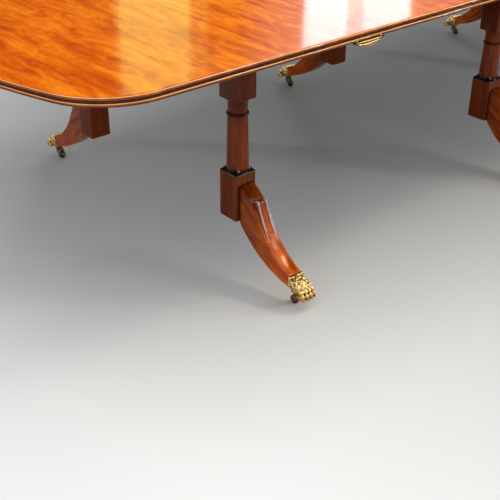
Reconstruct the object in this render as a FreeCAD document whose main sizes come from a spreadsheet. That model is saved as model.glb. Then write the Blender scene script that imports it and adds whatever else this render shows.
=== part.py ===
"""Extending dining table on three pairs of columns, as a parametric document.

Lengths are millimetres. X runs along the table, the near long edge is at -Y, and Z points up from the floor.
The right end is the left end turned half a circle about Z, so each piece of an end is drawn once, in the
left end's place. A column and what stands on its leg are drawn with the column's axis on Z and the leg
pointing to -Y.
"""
import FreeCAD
import Part
import Sketcher
import math
import os

Vector = FreeCAD.Vector
UP = Vector(0, 0, 1)

# Driving sizes: name, value, what it measures
SIZES = (
    ("table_height", 725.0, "floor to top surface"),
    ("half_width", 660.0, "middle line to long edge"),
    ("leaf_width", 624.0, "one loose leaf, along the table"),
    ("end_length", 854.0, "end top, from its joint to the tip of its bow"),
    ("corner_radius", 180.0, "rounded corner of an end top"),
    ("bow_radius", 1700.0, "bowed short edge of an end top"),
    ("top_thickness", 22.0, "end top"),
    ("upper_bead", 8.5, "height of the upper bead of the reeded edge"),
    ("lower_bead", 9.0, "height of the lower bead"),
    ("quirk_depth", 5.0, "depth of the channel between the beads"),
    ("joint_gap", 0.3, "gap between neighbouring leaves"),
    ("pair_spacing", 1078.0, "one pair of columns to the next"),
    ("column_spread", 352.0, "middle line to a column's axis"),
    ("block_width", 69.0, "square blocks of a column"),
    ("lower_block_bottom", 168.0, "floor to lower block"),
    ("lower_block_height", 134.0, "lower block, face to shoulder"),
    ("upper_block_bottom", 504.0, "floor to upper block, end pairs"),
    ("centre_block_drop", 40.0, "how much lower the middle pair's upper blocks reach"),
    ("shoulder_rise", 16.0, "hollow shoulder on the lower block"),
    ("shoulder_inset", 13.0, "how far the shoulder draws in on each side"),
    ("shoulder_hollow", 34.0, "radius of the shoulder's hollow"),
    ("shaft_low_radius", 30.4, "column shaft at its foot"),
    ("shaft_top_radius", 26.8, "column shaft below the ring"),
    ("neck_radius", 26.0, "neck above the ring"),
    ("cove_radius", 33.0, "turned cove under the upper block, at its top"),
    ("cove_height", 18.0, "that cove's height"),
    ("cove_hollow", 26.0, "radius of that cove's curve"),
    ("ring_radius", 30.2, "turned ring"),
    ("ring_height", 9.0, "turned ring"),
    ("ring_drop", 41.0, "upper block to the middle of the ring"),
    ("block_ease", 3.0, "rounding of the lower block's under edges"),
    ("leg_width", 45.0, "sabre leg"),
    ("leg_step", 28.0, "top of the lower block to the leg's upper end"),
    ("knee_reach", 79.5, "block face to the leg's knee"),
    ("knee_drop", 78.0, "leg's upper end to its knee"),
    ("knee_radius", 164.0, "rounded upper part of the leg's top"),
    ("sweep_radius", 230.0, "hollow lower part of the leg's top"),
    ("under_radius", 296.0, "hollow underside of the leg"),
    ("leg_reach", 195.5, "block face to the leg's foot end"),
    ("foot_bottom", 56.0, "floor to the underside of the leg's foot end"),
    ("foot_height", 30.0, "leg's foot end"),
    ("tablet_width", 33.0, "raised tablet on the leg"),
    ("tablet_nose", 16.5, "knee to the tablet's nose, toward the block"),
    ("tablet_lift", 50.0, "knee to the tablet's nose, upward"),
    ("tablet_run", 38.0, "knee to where the tablet dies away, outward"),
    ("tablet_fall", 58.0, "knee to where the tablet dies away, downward"),
    ("tablet_radius", 414.0, "hollow of the tablet"),
    ("nose_depth", 13.0, "tablet's rounded nose"),
    ("nose_fall", 10.0, "tablet's rounded nose, from tip to back"),
    ("nose_radius", 12.0, "tablet's rounded nose"),
    ("leg_tenon_depth", 14.0, "leg's tenon in the block"),
    ("leg_tenon_width", 20.0, "leg's tenon"),
    ("leg_tenon_height", 60.0, "leg's tenon"),
    ("foot_tenon_length", 20.0, "leg's tenon in the paw"),
    ("foot_tenon_width", 24.0, "that tenon"),
    ("foot_tenon_height", 14.0, "that tenon"),
    ("tenon_gap", 0.15, "play round a tenon"),
    ("collar_length", 10.0, "reeded collar of the paw"),
    ("collar_proud", 2.5, "how far the collar stands proud of the leg"),
    ("paw_length", 63.0, "collar's back to the toes"),
    ("paw_width", 41.0, "paw behind the toes"),
    ("instep_reach", 28.0, "collar's back to the instep"),
    ("instep_drop", 4.0, "leg's top to the instep"),
    ("instep_radius", 60.0, "curve over the collar"),
    ("toe_root_reach", 48.0, "collar's back to the root of the toes"),
    ("toe_root_height", 56.0, "floor to the root of the toes"),
    ("toe_root_radius", 34.0, "curve from instep to toes"),
    ("sole_height", 33.5, "floor to the paw's sole"),
    ("toe_width", 15.0, "one toe"),
    ("toe_pitch", 12.6, "one toe to the next"),
    ("toe_length", 34.0, "one toe"),
    ("toe_height", 33.0, "one toe"),
    ("toe_clear", 27.5, "floor to the underside of the toes"),
    ("pin_reach", 19.0, "leg's foot end to the caster's swivel pin"),
    ("pin_radius", 4.0, "swivel pin"),
    ("pin_length", 24.0, "swivel pin in the paw"),
    ("pin_play", 0.05, "running play of the swivel pin"),
    ("wheel_radius", 12.5, "caster wheel"),
    ("wheel_width", 14.0, "caster wheel"),
    ("wheel_round", 3.0, "rounded rim of the wheel"),
    ("wheel_trail", 14.0, "swivel pin to wheel axle"),
    ("wheel_play", 0.6, "gap between wheel and fork"),
    ("axle_radius", 2.5, "wheel axle"),
    ("axle_play", 0.06, "running play of wheel on axle"),
    ("rivet_radius", 4.0, "riveted end of the axle"),
    ("rivet_height", 1.2, "riveted end of the axle"),
    ("cheek_width", 2.6, "side of the caster fork"),
    ("cheek_radius", 6.0, "eye of the caster fork"),
    ("plate_radius", 11.0, "round plate of the caster horn"),
    ("plate_height", 4.0, "round plate of the caster horn"),
    ("crown_height", 3.2, "bridge of the fork under the plate"),
    ("seat_gap", 0.3, "gap between faces that run past each other"),
    ("slide_width", 30.0, "slide rail"),
    ("slide_height", 60.0, "slide rail"),
    ("slide_length", 1500.0, "slide rail"),
    ("slide_inner", 150.0, "table's middle to the inner end of an end rail"),
    ("slide_margin", 5.5, "column block to the outer rail"),
    ("groove_depth", 8.0, "dovetail groove in a centre rail"),
    ("groove_mouth", 14.0, "dovetail groove at the rail's face"),
    ("groove_floor", 18.0, "dovetail groove at its bottom"),
    ("tongue_length", 260.0, "dovetail tongue on an end rail"),
    ("stop_inset", 17.0, "end of a centre rail to its stop peg"),
    ("stop_radius", 3.0, "stop peg"),
    ("stop_length", 38.0, "stop peg"),
    ("bearer_width", 60.0, "bearer"),
    ("bearer_height", 60.0, "bearer of an end pair"),
    ("centre_bearer_height", 100.0, "bearer of the middle pair"),
    ("land_height", 1.0, "seat on a bearer that holds its own rails"),
    ("bearer_tenon_depth", 25.0, "bearer's tenon in the upper block"),
    ("bearer_tenon_width", 24.0, "bearer's tenon"),
    ("bearer_tenon_height", 40.0, "bearer's tenon"),
    ("bearer_tenon_drop", 10.0, "top of a bearer to its tenon"),
    ("screw_length", 42.0, "shank of a wood screw"),
    ("screw_radius", 2.2, "shank of a wood screw"),
    ("screw_bite", 12.0, "how far a screw goes into the piece it holds"),
    ("head_radius", 4.5, "head of a wood screw"),
    ("head_height", 3.0, "head of a wood screw"),
    ("head_play", 0.8, "play round a screw's head in its counterbore"),
    ("shank_play", 0.3, "play round a screw's shank"),
    ("screw_spacing", 290.0, "one top screw to the next, along a rail"),
    ("screw_inset", 62.0, "outer end of a rail to its first top screw"),
    ("bearer_screw_spread", 18.0, "middle of a bearer to each of its screws"),
    ("clip_half_length", 51.0, "clip's bow"),
    ("clip_depth", 16.0, "clip's bow, hanging below the edge"),
    ("clip_offset", 10.0, "joint to the middle of the clip, toward the end top"),
    ("clip_thickness", 9.0, "clip's bow"),
    ("clip_proud", 1.5, "how far the bow stands proud of the edge"),
    ("clip_gap", 0.4, "gap between bow and underside"),
    ("arm_spread", 40.0, "middle of the clip to each arm"),
    ("arm_width", 8.0, "clip's arm"),
    ("arm_height", 5.6, "clip's arm, above the underside"),
    ("arm_length", 64.0, "clip's arm"),
    ("arm_play", 0.4, "play of an arm in its groove, and of its end"),
    ("notch_gap", 3.0, "open part of the groove beside an arm"),
    ("keeper_length", 26.0, "keeper plate along the arm"),
    ("keeper_width", 34.0, "keeper plate across the arm"),
    ("keeper_height", 3.0, "keeper plate"),
    ("keeper_inset", 24.0, "long edge to the keeper plate"),
)

doc = FreeCAD.newDocument("ExtendingTable")
sheet = doc.addObject("Spreadsheet::Sheet", "Sizes")
for row, (alias, value, meaning) in enumerate(SIZES, start=1):
    sheet.set(f"A{row}", meaning)
    sheet.set(f"B{row}", str(value))
    sheet.setAlias(f"B{row}", alias)
doc.recompute()


class Length(float):
    """A size that keeps the spreadsheet expression it was worked out with."""

    def __new__(cls, value, text):
        length = float.__new__(cls, value)
        length.text = text
        return length

    def __add__(self, other):
        return Length(float(self) + float(other), f"({self.text} + {text_of(other)})")

    def __sub__(self, other):
        return Length(float(self) - float(other), f"({self.text} - {text_of(other)})")

    def __rsub__(self, other):
        return Length(float(other) - float(self), f"({text_of(other)} - {self.text})")

    def __mul__(self, other):
        return Length(float(self) * float(other), f"({self.text} * {text_of(other)})")

    def __truediv__(self, other):
        return Length(float(self) / float(other), f"({self.text} / {text_of(other)})")

    def __neg__(self):
        return Length(-float(self), f"(0 - {self.text})")

    __radd__ = __add__
    __rmul__ = __mul__


def text_of(value):
    """A size's expression, or a plain number as text."""
    return value.text if isinstance(value, Length) else repr(float(value))


def root(length):
    """Square root that keeps its expression."""
    return Length(math.sqrt(length), f"sqrt({length.text})")


def size(alias):
    """A driving size from the spreadsheet."""
    return Length(sheet.get(alias), f"Sizes.{alias}")


def bind(thing, name, length):
    """Bind a property to a size's expression, or set it to a plain number."""
    thing.setExpression(name, text_of(length))


# Sizes worked out from the driving ones, shared by several pieces
half_width = size("half_width")
joint_x = size("leaf_width") * 1.5
top_under = size("table_height") - size("top_thickness")
leaf_under = top_under + size("seat_gap")
half_block = size("block_width") / 2
lower_block_top = size("lower_block_bottom") + size("lower_block_height")
leg_end = half_block + size("leg_reach")
leg_top = lower_block_top - size("leg_step")
foot_top = size("foot_bottom") + size("foot_height")
foot_tenon_bottom = size("foot_bottom") + (size("foot_height") - size("foot_tenon_height")) / 2
leg_tenon_bottom = size("lower_block_bottom") + (size("lower_block_height") - size("leg_tenon_height")) / 2
pin_out = leg_end + size("pin_reach")
horn_top = size("sole_height") - size("seat_gap")
fork_inner = size("wheel_width") / 2 + size("wheel_play")
fork_outer = fork_inner + size("cheek_width")
slide_under = top_under - size("slide_height")
slide_middle = top_under - size("slide_height") / 2
slide_step = size("slide_width") + size("seat_gap")
outer_slide_y = size("column_spread") - half_block - size("slide_margin") - size("slide_width") / 2
centre_slide_y = outer_slide_y - slide_step
inner_slide_y = centre_slide_y - slide_step
slide_outer = size("slide_inner") + size("slide_length")
bearer_top = slide_under - size("land_height")
bearer_tenon_top = bearer_top - size("bearer_tenon_drop")
counterbore_radius = size("head_radius") + size("head_play")
shank_hole_radius = size("screw_radius") + size("shank_play")
top_screw_seat = top_under + size("screw_bite") - size("screw_length")
bearer_screw_seat = slide_under + size("screw_bite") - size("screw_length")
groove_width = size("arm_width") + size("notch_gap") + size("arm_play")
groove_length = size("arm_length") + size("arm_play")
groove_top = size("arm_height") + size("arm_play")
stop_x = size("slide_length") / 2 - size("stop_inset")

made = []


def place(thing, x=0, y=0, z=0, turn=0):
    """Place a piece, turned about Z by a half circle or not at all."""
    thing.Placement = FreeCAD.Placement(Vector(float(x), float(y), float(z)), FreeCAD.Rotation(UP, turn))
    bind(thing, "Placement.Base.x", x)
    bind(thing, "Placement.Base.y", y)
    bind(thing, "Placement.Base.z", z)


def new_body(label):
    """An empty body whose label names its file."""
    body = doc.addObject("PartDesign::Body", label)
    body.Label = label
    made.append(body)
    return body


def draw(sketch, corners):
    """Draw a closed outline, pinned to its sizes.

    A corner is (x, y) where a line arrives at it, or (x, y, radius, side) where an arc does, with the arc's
    centre on the left (1) or the right (-1) of the way round.
    """
    pieces = []
    for corner, ahead in zip(corners, corners[1:] + corners[:1]):
        start = Vector(corner[0], corner[1], 0)
        finish = Vector(ahead[0], ahead[1], 0)
        if len(ahead) == 2:
            pieces.append((sketch.addGeometry(Part.LineSegment(start, finish)), 1, 2))
            continue
        radius, side = ahead[2:]
        chord = finish - start
        rise = math.sqrt(max(radius ** 2 - chord.Length ** 2 / 4, 0))
        left = Vector(-chord.y, chord.x, 0) / chord.Length
        centre = (start + finish) / 2 + left * rise * side
        first, last = (start, finish) if side > 0 else (finish, start)
        angles = [math.atan2(point.y - centre.y, point.x - centre.x) for point in (first, last)]
        arc = Part.ArcOfCircle(Part.Circle(centre, UP, float(radius)), *angles)
        ends = (1, 2) if side > 0 else (2, 1)
        pieces.append((sketch.addGeometry(arc), *ends))
    for index, corner in enumerate(corners):
        piece, begin, _ = pieces[index]
        before, _, end = pieces[index - 1]
        sketch.addConstraint(Sketcher.Constraint("Coincident", before, end, piece, begin))
        pin(sketch, "DistanceX", piece, begin, corner[0])
        pin(sketch, "DistanceY", piece, begin, corner[1])
        if len(corner) == 4:
            hold(sketch, Sketcher.Constraint("Radius", before, float(corner[2])), corner[2])


def hold(sketch, constraint, length):
    """Add a constraint bound to a size."""
    number = sketch.addConstraint(constraint)
    if isinstance(length, Length):
        sketch.setExpression(f"Constraints[{number}]", length.text)


def pin(sketch, kind, piece, end, length):
    """Hold a point at its distance from the sketch's origin."""
    if float(length) == 0:
        axis = -2 if kind == "DistanceX" else -1
        sketch.addConstraint(Sketcher.Constraint("PointOnObject", piece, end, axis))
        return
    hold(sketch, Sketcher.Constraint(kind, -1, 1, piece, end, float(length)), length)


def draw_circle(sketch, x, y, radius):
    """Draw a circle, pinned to its sizes."""
    piece = sketch.addGeometry(Part.Circle(Vector(float(x), float(y), 0), UP, float(radius)))
    pin(sketch, "DistanceX", piece, 3, x)
    pin(sketch, "DistanceY", piece, 3, y)
    hold(sketch, Sketcher.Constraint("Radius", piece, float(radius)), radius)


def add_sketch(body, plane, lift, outlines=(), circles=()):
    """A sketch on one of the body's origin planes, lifted along that plane's normal."""
    sketch = body.newObject("Sketcher::SketchObject", "Sketch")
    support = [feature for feature in body.Origin.OriginFeatures if feature.Role == plane][0]
    sketch.AttachmentSupport = [(support, "")]
    sketch.MapMode = "FlatFace"
    bind(sketch, "AttachmentOffset.Base.z", lift)
    for corners in outlines:
        draw(sketch, list(corners))
    for circle in circles:
        draw_circle(sketch, *circle)
    return sketch


def pad(body, plane, start, length, *outlines, circles=()):
    """Add a prism that starts at a level and runs along the plane's normal."""
    feature = body.newObject("PartDesign::Pad", "Pad")
    feature.Profile = add_sketch(body, plane, start, outlines, circles)
    bind(feature, "Length", length)
    return feature


def pocket(body, plane, start, length, *outlines, circles=()):
    """Cut a prism that starts at a level and runs against the plane's normal."""
    feature = body.newObject("PartDesign::Pocket", "Pocket")
    feature.Profile = add_sketch(body, plane, start, outlines, circles)
    bind(feature, "Length", length)
    return feature


def revolve(body, axis, corners, kind="Revolution"):
    """Turn an outline, drawn on the XZ plane, about one of its axes."""
    feature = body.newObject(f"PartDesign::{kind}", kind)
    sketch = add_sketch(body, "XZ_Plane", 0, [corners])
    feature.Profile = sketch
    feature.ReferenceAxis = (sketch, [axis])
    feature.Angle = 360
    return feature


def round_edges(body, base, radius, choose):
    """Round the edges of a feature that a test picks."""
    doc.recompute()
    names = [f"Edge{n}" for n, edge in enumerate(base.Shape.Edges, start=1) if choose(edge)]
    feature = body.newObject("PartDesign::Fillet", "Fillet")
    feature.Base = (base, names)
    bind(feature, "Radius", radius)
    return feature


def rectangle(left, bottom, width, height):
    """Corners of a rectangle."""
    return [(left, bottom), (left + width, bottom), (left + width, bottom + height), (left, bottom + height)]


def centred(width, height):
    """Corners of a rectangle about the sketch's origin."""
    return rectangle(-width / 2, -height / 2, width, height)


# Tops
def end_outline(inset):
    """Outline of an end top, with its joint on the Y axis and its bow toward -X."""
    side = half_width - inset
    corner = size("corner_radius") - inset
    bow = size("bow_radius") - inset
    bow_x = size("bow_radius") - size("end_length")
    reach = size("bow_radius") - size("corner_radius")
    corner_y = half_width - size("corner_radius")
    corner_x = bow_x - root(reach * reach - corner_y * corner_y)
    meet_x = bow_x + (corner_x - bow_x) * bow / reach
    meet_y = corner_y * bow / reach
    return [
        (0, -side),
        (0, side),
        (corner_x, side),
        (meet_x, meet_y, corner, 1),
        (meet_x, -meet_y, bow, 1),
        (corner_x, -side, corner, 1),
    ]


def rim_edges(*levels):
    """Test for the edges of an end top's full outline at some levels."""
    radii = (size("corner_radius"), size("bow_radius"))

    def choose(edge):
        box = edge.BoundBox
        if box.ZLength > 0.01 or min(abs(box.ZMin - level) for level in levels) > 0.01:
            return False
        if edge.Curve.TypeId == "Part::GeomCircle":
            return min(abs(edge.Curve.Radius - radius) for radius in radii) < 0.01
        return box.YLength < 0.01 and abs(abs(box.YMin) - half_width) < 0.01

    return choose


def arm_grooves(body, arm_x, under):
    """Cut the groove for one arm of a clip into both long edges of a board."""
    left = arm_x - size("arm_width") / 2 - size("arm_play")
    past = size("clip_proud")
    near = rectangle(left, -half_width - past, groove_width, groove_length + past)
    far = rectangle(left, half_width - groove_length, groove_width, groove_length + past)
    pocket(body, "XY_Plane", top_under + groove_top, groove_top - (under - top_under), near, far)


def end_top(label, turn):
    """End top with its reeded edge: two rounded beads on an inset core."""
    body = new_body(label)
    nearly_half = 0.498
    upper_under = size("table_height") - size("upper_bead")
    lower = pad(body, "XY_Plane", top_under, size("lower_bead"), end_outline(0))
    round_edges(body, lower, size("lower_bead") * nearly_half,
                rim_edges(top_under, top_under + size("lower_bead")))
    pad(body, "XY_Plane", top_under, size("top_thickness"), end_outline(size("quirk_depth")))
    upper = pad(body, "XY_Plane", upper_under, size("upper_bead"), end_outline(0))
    round_edges(body, upper, size("upper_bead") * nearly_half, rim_edges(upper_under, size("table_height")))
    arm_grooves(body, -size("clip_offset") - size("arm_spread"), top_under)
    spots = [(x + joint_x, y, size("screw_radius")) for x, y in top_screw_spots()]
    pocket(body, "XY_Plane", top_under + size("screw_bite"), size("screw_bite"), circles=spots)
    place_end(body, turn, -joint_x)


def leaf_section():
    """Section of a leaf, with the two-bead reeded edge on both sides."""
    low_height = size("lower_bead") - size("seat_gap")
    low_radius = low_height / 2
    high_radius = size("upper_bead") / 2
    low_top = leaf_under + low_height
    high_under = size("table_height") - size("upper_bead")
    quirk = half_width - size("quirk_depth")
    low_side = half_width - low_radius
    high_side = half_width - high_radius
    return [
        (-low_side, leaf_under, low_radius, 1),
        (low_side, leaf_under),
        (half_width, leaf_under + low_radius, low_radius, 1),
        (low_side, low_top, low_radius, 1),
        (quirk, low_top),
        (quirk, high_under),
        (high_side, high_under),
        (half_width, high_under + high_radius, high_radius, 1),
        (high_side, size("table_height"), high_radius, 1),
        (-high_side, size("table_height")),
        (-half_width, high_under + high_radius, high_radius, 1),
        (-high_side, high_under, high_radius, 1),
        (-quirk, high_under),
        (-quirk, low_top),
        (-low_side, low_top),
        (-half_width, leaf_under + low_radius, low_radius, 1),
    ]


def leaf(label, x, turn, clipped):
    """Loose leaf; one that meets an end top has grooves for the clips' arms."""
    body = new_body(label)
    width = size("leaf_width") - size("joint_gap")
    pad(body, "YZ_Plane", -width / 2, width, leaf_section())
    if clipped:
        arm_grooves(body, size("arm_spread") - size("clip_offset") - size("leaf_width") / 2, leaf_under)
    place(body, x, turn=turn)


# Columns
def shoulder_cuts():
    """The two regions that hollow the shoulder of the lower block, seen from one side."""
    low = lower_block_top
    high = lower_block_top + size("shoulder_rise")
    inside = half_block - size("shoulder_inset")
    outside = half_block + 1
    hollow = size("shoulder_hollow")
    right = [(half_block, low, hollow, 1), (outside, low), (outside, high), (inside, high)]
    left = [(-half_block, low), (-inside, high, hollow, 1), (-outside, high), (-outside, low)]
    return right, left


def column(label, x, y, turn, block_bottom):
    """Turned column between two square blocks, with mortises for the leg and the bearer."""
    body = new_body(label)
    lower_bottom = size("lower_block_bottom")
    square = centred(size("block_width"), size("block_width"))
    core = (0, 0, size("shaft_top_radius") / 2)
    pad(body, "XY_Plane", lower_bottom, top_under - lower_bottom, circles=[core])
    lower = pad(body, "XY_Plane", lower_bottom, size("lower_block_height") + size("shoulder_rise"), square)
    round_edges(body, lower, size("block_ease"), lambda edge: abs(edge.BoundBox.ZMax - lower_bottom) < 0.01)
    pocket(body, "XZ_Plane", half_block + 1, size("block_width") + 2, *shoulder_cuts())
    pocket(body, "YZ_Plane", half_block + 1, size("block_width") + 2, *shoulder_cuts())
    pad(body, "XY_Plane", block_bottom, top_under - block_bottom, square)
    revolve(body, "V_Axis", turned_outline(block_bottom))
    gap = size("tenon_gap")
    leg_depth = size("leg_tenon_depth") + gap
    leg_mortise = mortise(leg_tenon_bottom, size("leg_tenon_width"), size("leg_tenon_height"))
    pocket(body, "XZ_Plane", half_block, leg_depth, leg_mortise)
    bearer_depth = size("bearer_tenon_depth") + gap
    bearer_tenon_bottom = bearer_tenon_top - size("bearer_tenon_height")
    bearer_mortise = mortise(bearer_tenon_bottom, size("bearer_tenon_width"), size("bearer_tenon_height"))
    pocket(body, "XZ_Plane", bearer_depth - half_block, bearer_depth, bearer_mortise)
    place(body, x, y, turn=turn)


def mortise(bottom, width, height):
    """Corners of a hole for a tenon, with play all round."""
    gap = size("tenon_gap")
    return rectangle(-width / 2 - gap, bottom - gap, width + gap * 2, height + gap * 2)


def turned_outline(block_bottom):
    """Half section of the turned part: shaft, ring, neck and cove."""
    ring = block_bottom - size("ring_drop")
    ring_low = ring - size("ring_height") / 2
    ring_high = ring + size("ring_height") / 2
    bulge = size("ring_radius") - size("neck_radius")
    ring_curve = (bulge * bulge + size("ring_height") * size("ring_height") / 4) / (bulge * 2)
    return [
        (0, lower_block_top),
        (size("shaft_low_radius"), lower_block_top),
        (size("shaft_top_radius"), ring_low - 2),
        (size("neck_radius"), ring_low),
        (size("neck_radius"), ring_high, ring_curve, 1),
        (size("neck_radius"), block_bottom - size("cove_height")),
        (size("cove_radius"), block_bottom, size("cove_hollow"), -1),
        (0, block_bottom),
    ]


# Legs and their brass paws
def leg(label, x, y, turn):
    """Sabre leg with its raised tablet, drawn on the YZ plane with the way out at -Y."""
    body = new_body(label)
    knee_out = half_block + size("knee_reach")
    knee_up = leg_top - size("knee_drop")
    pad(body, "YZ_Plane", -size("leg_width") / 2, size("leg_width"), [
        (-half_block, size("lower_block_bottom"), size("under_radius"), 1),
        (-half_block, leg_top),
        (-knee_out, knee_up, size("knee_radius"), 1),
        (-leg_end, foot_top, size("sweep_radius"), -1),
        (-leg_end, size("foot_bottom")),
    ])
    nose_out = knee_out - size("tablet_nose")
    nose_up = knee_up + size("tablet_lift")
    back_out = nose_out - size("nose_depth")
    pad(body, "YZ_Plane", -size("tablet_width") / 2, size("tablet_width"), [
        (-back_out, nose_up - size("nose_fall")),
        (-nose_out, nose_up, size("nose_radius"), 1),
        (-knee_out - size("tablet_run"), knee_up - size("tablet_fall"), size("tablet_radius"), -1),
        (-back_out, knee_up),
    ])
    block_tenon = rectangle(-size("leg_tenon_width") / 2, leg_tenon_bottom,
                            size("leg_tenon_width"), size("leg_tenon_height"))
    pad(body, "XZ_Plane", half_block - size("leg_tenon_depth"), size("leg_tenon_depth"), block_tenon)
    foot_tenon = rectangle(-size("foot_tenon_width") / 2, foot_tenon_bottom,
                           size("foot_tenon_width"), size("foot_tenon_height"))
    pad(body, "XZ_Plane", leg_end, size("foot_tenon_length"), foot_tenon)
    place(body, x, y, turn=turn)


def paw(label, x, y, turn):
    """Brass paw shoe: collar, instep and four toes, with a socket for the leg and a bore for the caster."""
    body = new_body(label)
    proud = size("collar_proud")
    collar = rectangle(-size("leg_width") / 2 - proud, size("foot_bottom") - proud,
                       size("leg_width") + proud * 2, size("foot_height") + proud * 2)
    pad(body, "XZ_Plane", leg_end, size("collar_length"), collar)
    pad(body, "YZ_Plane", -size("paw_width") / 2, size("paw_width"), [
        (-leg_end, size("sole_height")),
        (-leg_end, foot_top),
        (-leg_end - size("instep_reach"), foot_top - size("instep_drop"), size("instep_radius"), 1),
        (-leg_end - size("toe_root_reach"), size("toe_root_height"), size("toe_root_radius"), 1),
        (-leg_end - size("toe_root_reach"), size("sole_height")),
    ])
    for number in range(4):
        toe(body, size("toe_pitch") * (number - 1.5))
    gap = size("tenon_gap")
    socket_depth = size("foot_tenon_length") + gap
    socket = mortise(foot_tenon_bottom, size("foot_tenon_width"), size("foot_tenon_height"))
    pocket(body, "XZ_Plane", leg_end + socket_depth, socket_depth, socket)
    bore = (0, -pin_out, size("pin_radius") + size("pin_play"))
    bore_depth = size("pin_length") + size("seat_gap")
    pocket(body, "XY_Plane", size("sole_height") + bore_depth, bore_depth, circles=[bore])
    place(body, x, y, turn=turn)


def toe(body, x):
    """One rounded toe of a paw."""
    feature = body.newObject("PartDesign::AdditiveEllipsoid", "Toe")
    bind(feature, "Radius1", size("toe_height") / 2)
    bind(feature, "Radius2", size("toe_width") / 2)
    bind(feature, "Radius3", size("toe_length") / 2)
    bind(feature, "Placement.Base.x", x)
    bind(feature, "Placement.Base.y", -leg_end - size("paw_length") + size("toe_length") / 2)
    bind(feature, "Placement.Base.z", size("toe_clear") + size("toe_height") / 2)


# Casters, drawn with the swivel pin on Z and the wheel trailing toward +Y
def caster_horn(label, x, y, turn):
    """Caster horn: swivel pin, round plate, and a fork for the wheel."""
    body = new_body(label)
    plate_under = horn_top - size("plate_height")
    revolve(body, "V_Axis", [
        (0, plate_under),
        (size("plate_radius"), plate_under),
        (size("plate_radius"), horn_top),
        (size("pin_radius"), horn_top),
        (size("pin_radius"), size("sole_height") + size("pin_length")),
        (0, size("sole_height") + size("pin_length")),
    ])
    back = -size("cheek_radius")
    front = size("wheel_trail") - size("cheek_radius") / 2
    crown_under = plate_under - size("crown_height")
    crown = rectangle(-fork_outer, back, fork_outer * 2, front - back)
    pad(body, "XY_Plane", crown_under, size("crown_height"), crown)
    eye = size("cheek_radius") * math.sqrt(0.5)
    near_eye = size("wheel_trail") - eye
    far_eye = size("wheel_trail") + eye
    cheek = [
        (back, plate_under),
        (back, crown_under - size("cheek_width")),
        (near_eye, size("wheel_radius") - eye),
        (far_eye, size("wheel_radius") - eye, size("cheek_radius"), 1),
        (far_eye, size("wheel_radius") + eye, size("cheek_radius"), 1),
        (front, plate_under),
    ]
    for start in (fork_inner, -fork_outer):
        pad(body, "YZ_Plane", start, size("cheek_width"), cheek)
    axle_hole = (size("wheel_trail"), size("wheel_radius"), size("axle_radius") + size("axle_play"))
    pocket(body, "YZ_Plane", fork_outer, fork_outer * 2, circles=[axle_hole])
    place(body, x, y, turn=turn)


def caster_axle(label, x, y, turn):
    """Axle riveted into the fork."""
    body = new_body(label)
    end = fork_outer + size("rivet_height")
    revolve(body, "H_Axis", [
        (-end, 0),
        (end, 0),
        (end, size("rivet_radius")),
        (fork_outer, size("rivet_radius")),
        (fork_outer, size("axle_radius")),
        (-fork_outer, size("axle_radius")),
        (-fork_outer, size("rivet_radius")),
        (-end, size("rivet_radius")),
    ])
    place(body, x, y, size("wheel_radius"), turn)


def caster_wheel(label, x, y, turn):
    """Brass wheel with a rounded rim."""
    body = new_body(label)
    side = size("wheel_width") / 2
    rim = size("wheel_radius")
    soft = size("wheel_round")
    bore = size("axle_radius") + size("axle_play")
    revolve(body, "H_Axis", [
        (-side, bore),
        (side, bore),
        (side, rim - soft),
        (side - soft, rim, soft, 1),
        (soft - side, rim),
        (-side, rim - soft, soft, 1),
    ])
    place(body, x, y, size("wheel_radius"), turn)


# Underframe
def top_screw_spots():
    """Where screws hold the left end top to its two rails."""
    first = -slide_outer + size("screw_inset")
    return [(first + size("screw_spacing") * n, y) for n in range(3) for y in (-outer_slide_y, inner_slide_y)]


def bearer_screw_spots(rails):
    """Where screws hold a bearer to its rails, from the bearer's middle."""
    return [(size("bearer_screw_spread") * side, y) for side in (-1, 1) for y in rails]


def bearer(label, turn, x, height, rails):
    """Bearer across a pair of columns, with a land for each of its own rails."""
    body = new_body(label)
    span = size("column_spread") - half_block
    under = bearer_top - height
    pad(body, "XY_Plane", under, height, centred(size("bearer_width"), span * 2))
    depth = size("bearer_tenon_depth")
    tenon = rectangle(-size("bearer_tenon_width") / 2, bearer_tenon_top - size("bearer_tenon_height"),
                      size("bearer_tenon_width"), size("bearer_tenon_height"))
    for start in (span, -span - depth):
        pad(body, "XZ_Plane", start, depth, tenon)
    lands = [rectangle(-size("bearer_width") / 2, y - size("slide_width") / 2,
                       size("bearer_width"), size("slide_width")) for y in rails]
    pad(body, "XY_Plane", bearer_top, size("land_height"), *lands)
    spots = bearer_screw_spots(rails)
    pocket(body, "XY_Plane", slide_under, slide_under - bearer_screw_seat,
           circles=[(a, b, shank_hole_radius) for a, b in spots])
    pocket(body, "XY_Plane", bearer_screw_seat, bearer_screw_seat - under,
           circles=[(a, b, counterbore_radius) for a, b in spots])
    place_end(body, turn, x)


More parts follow.
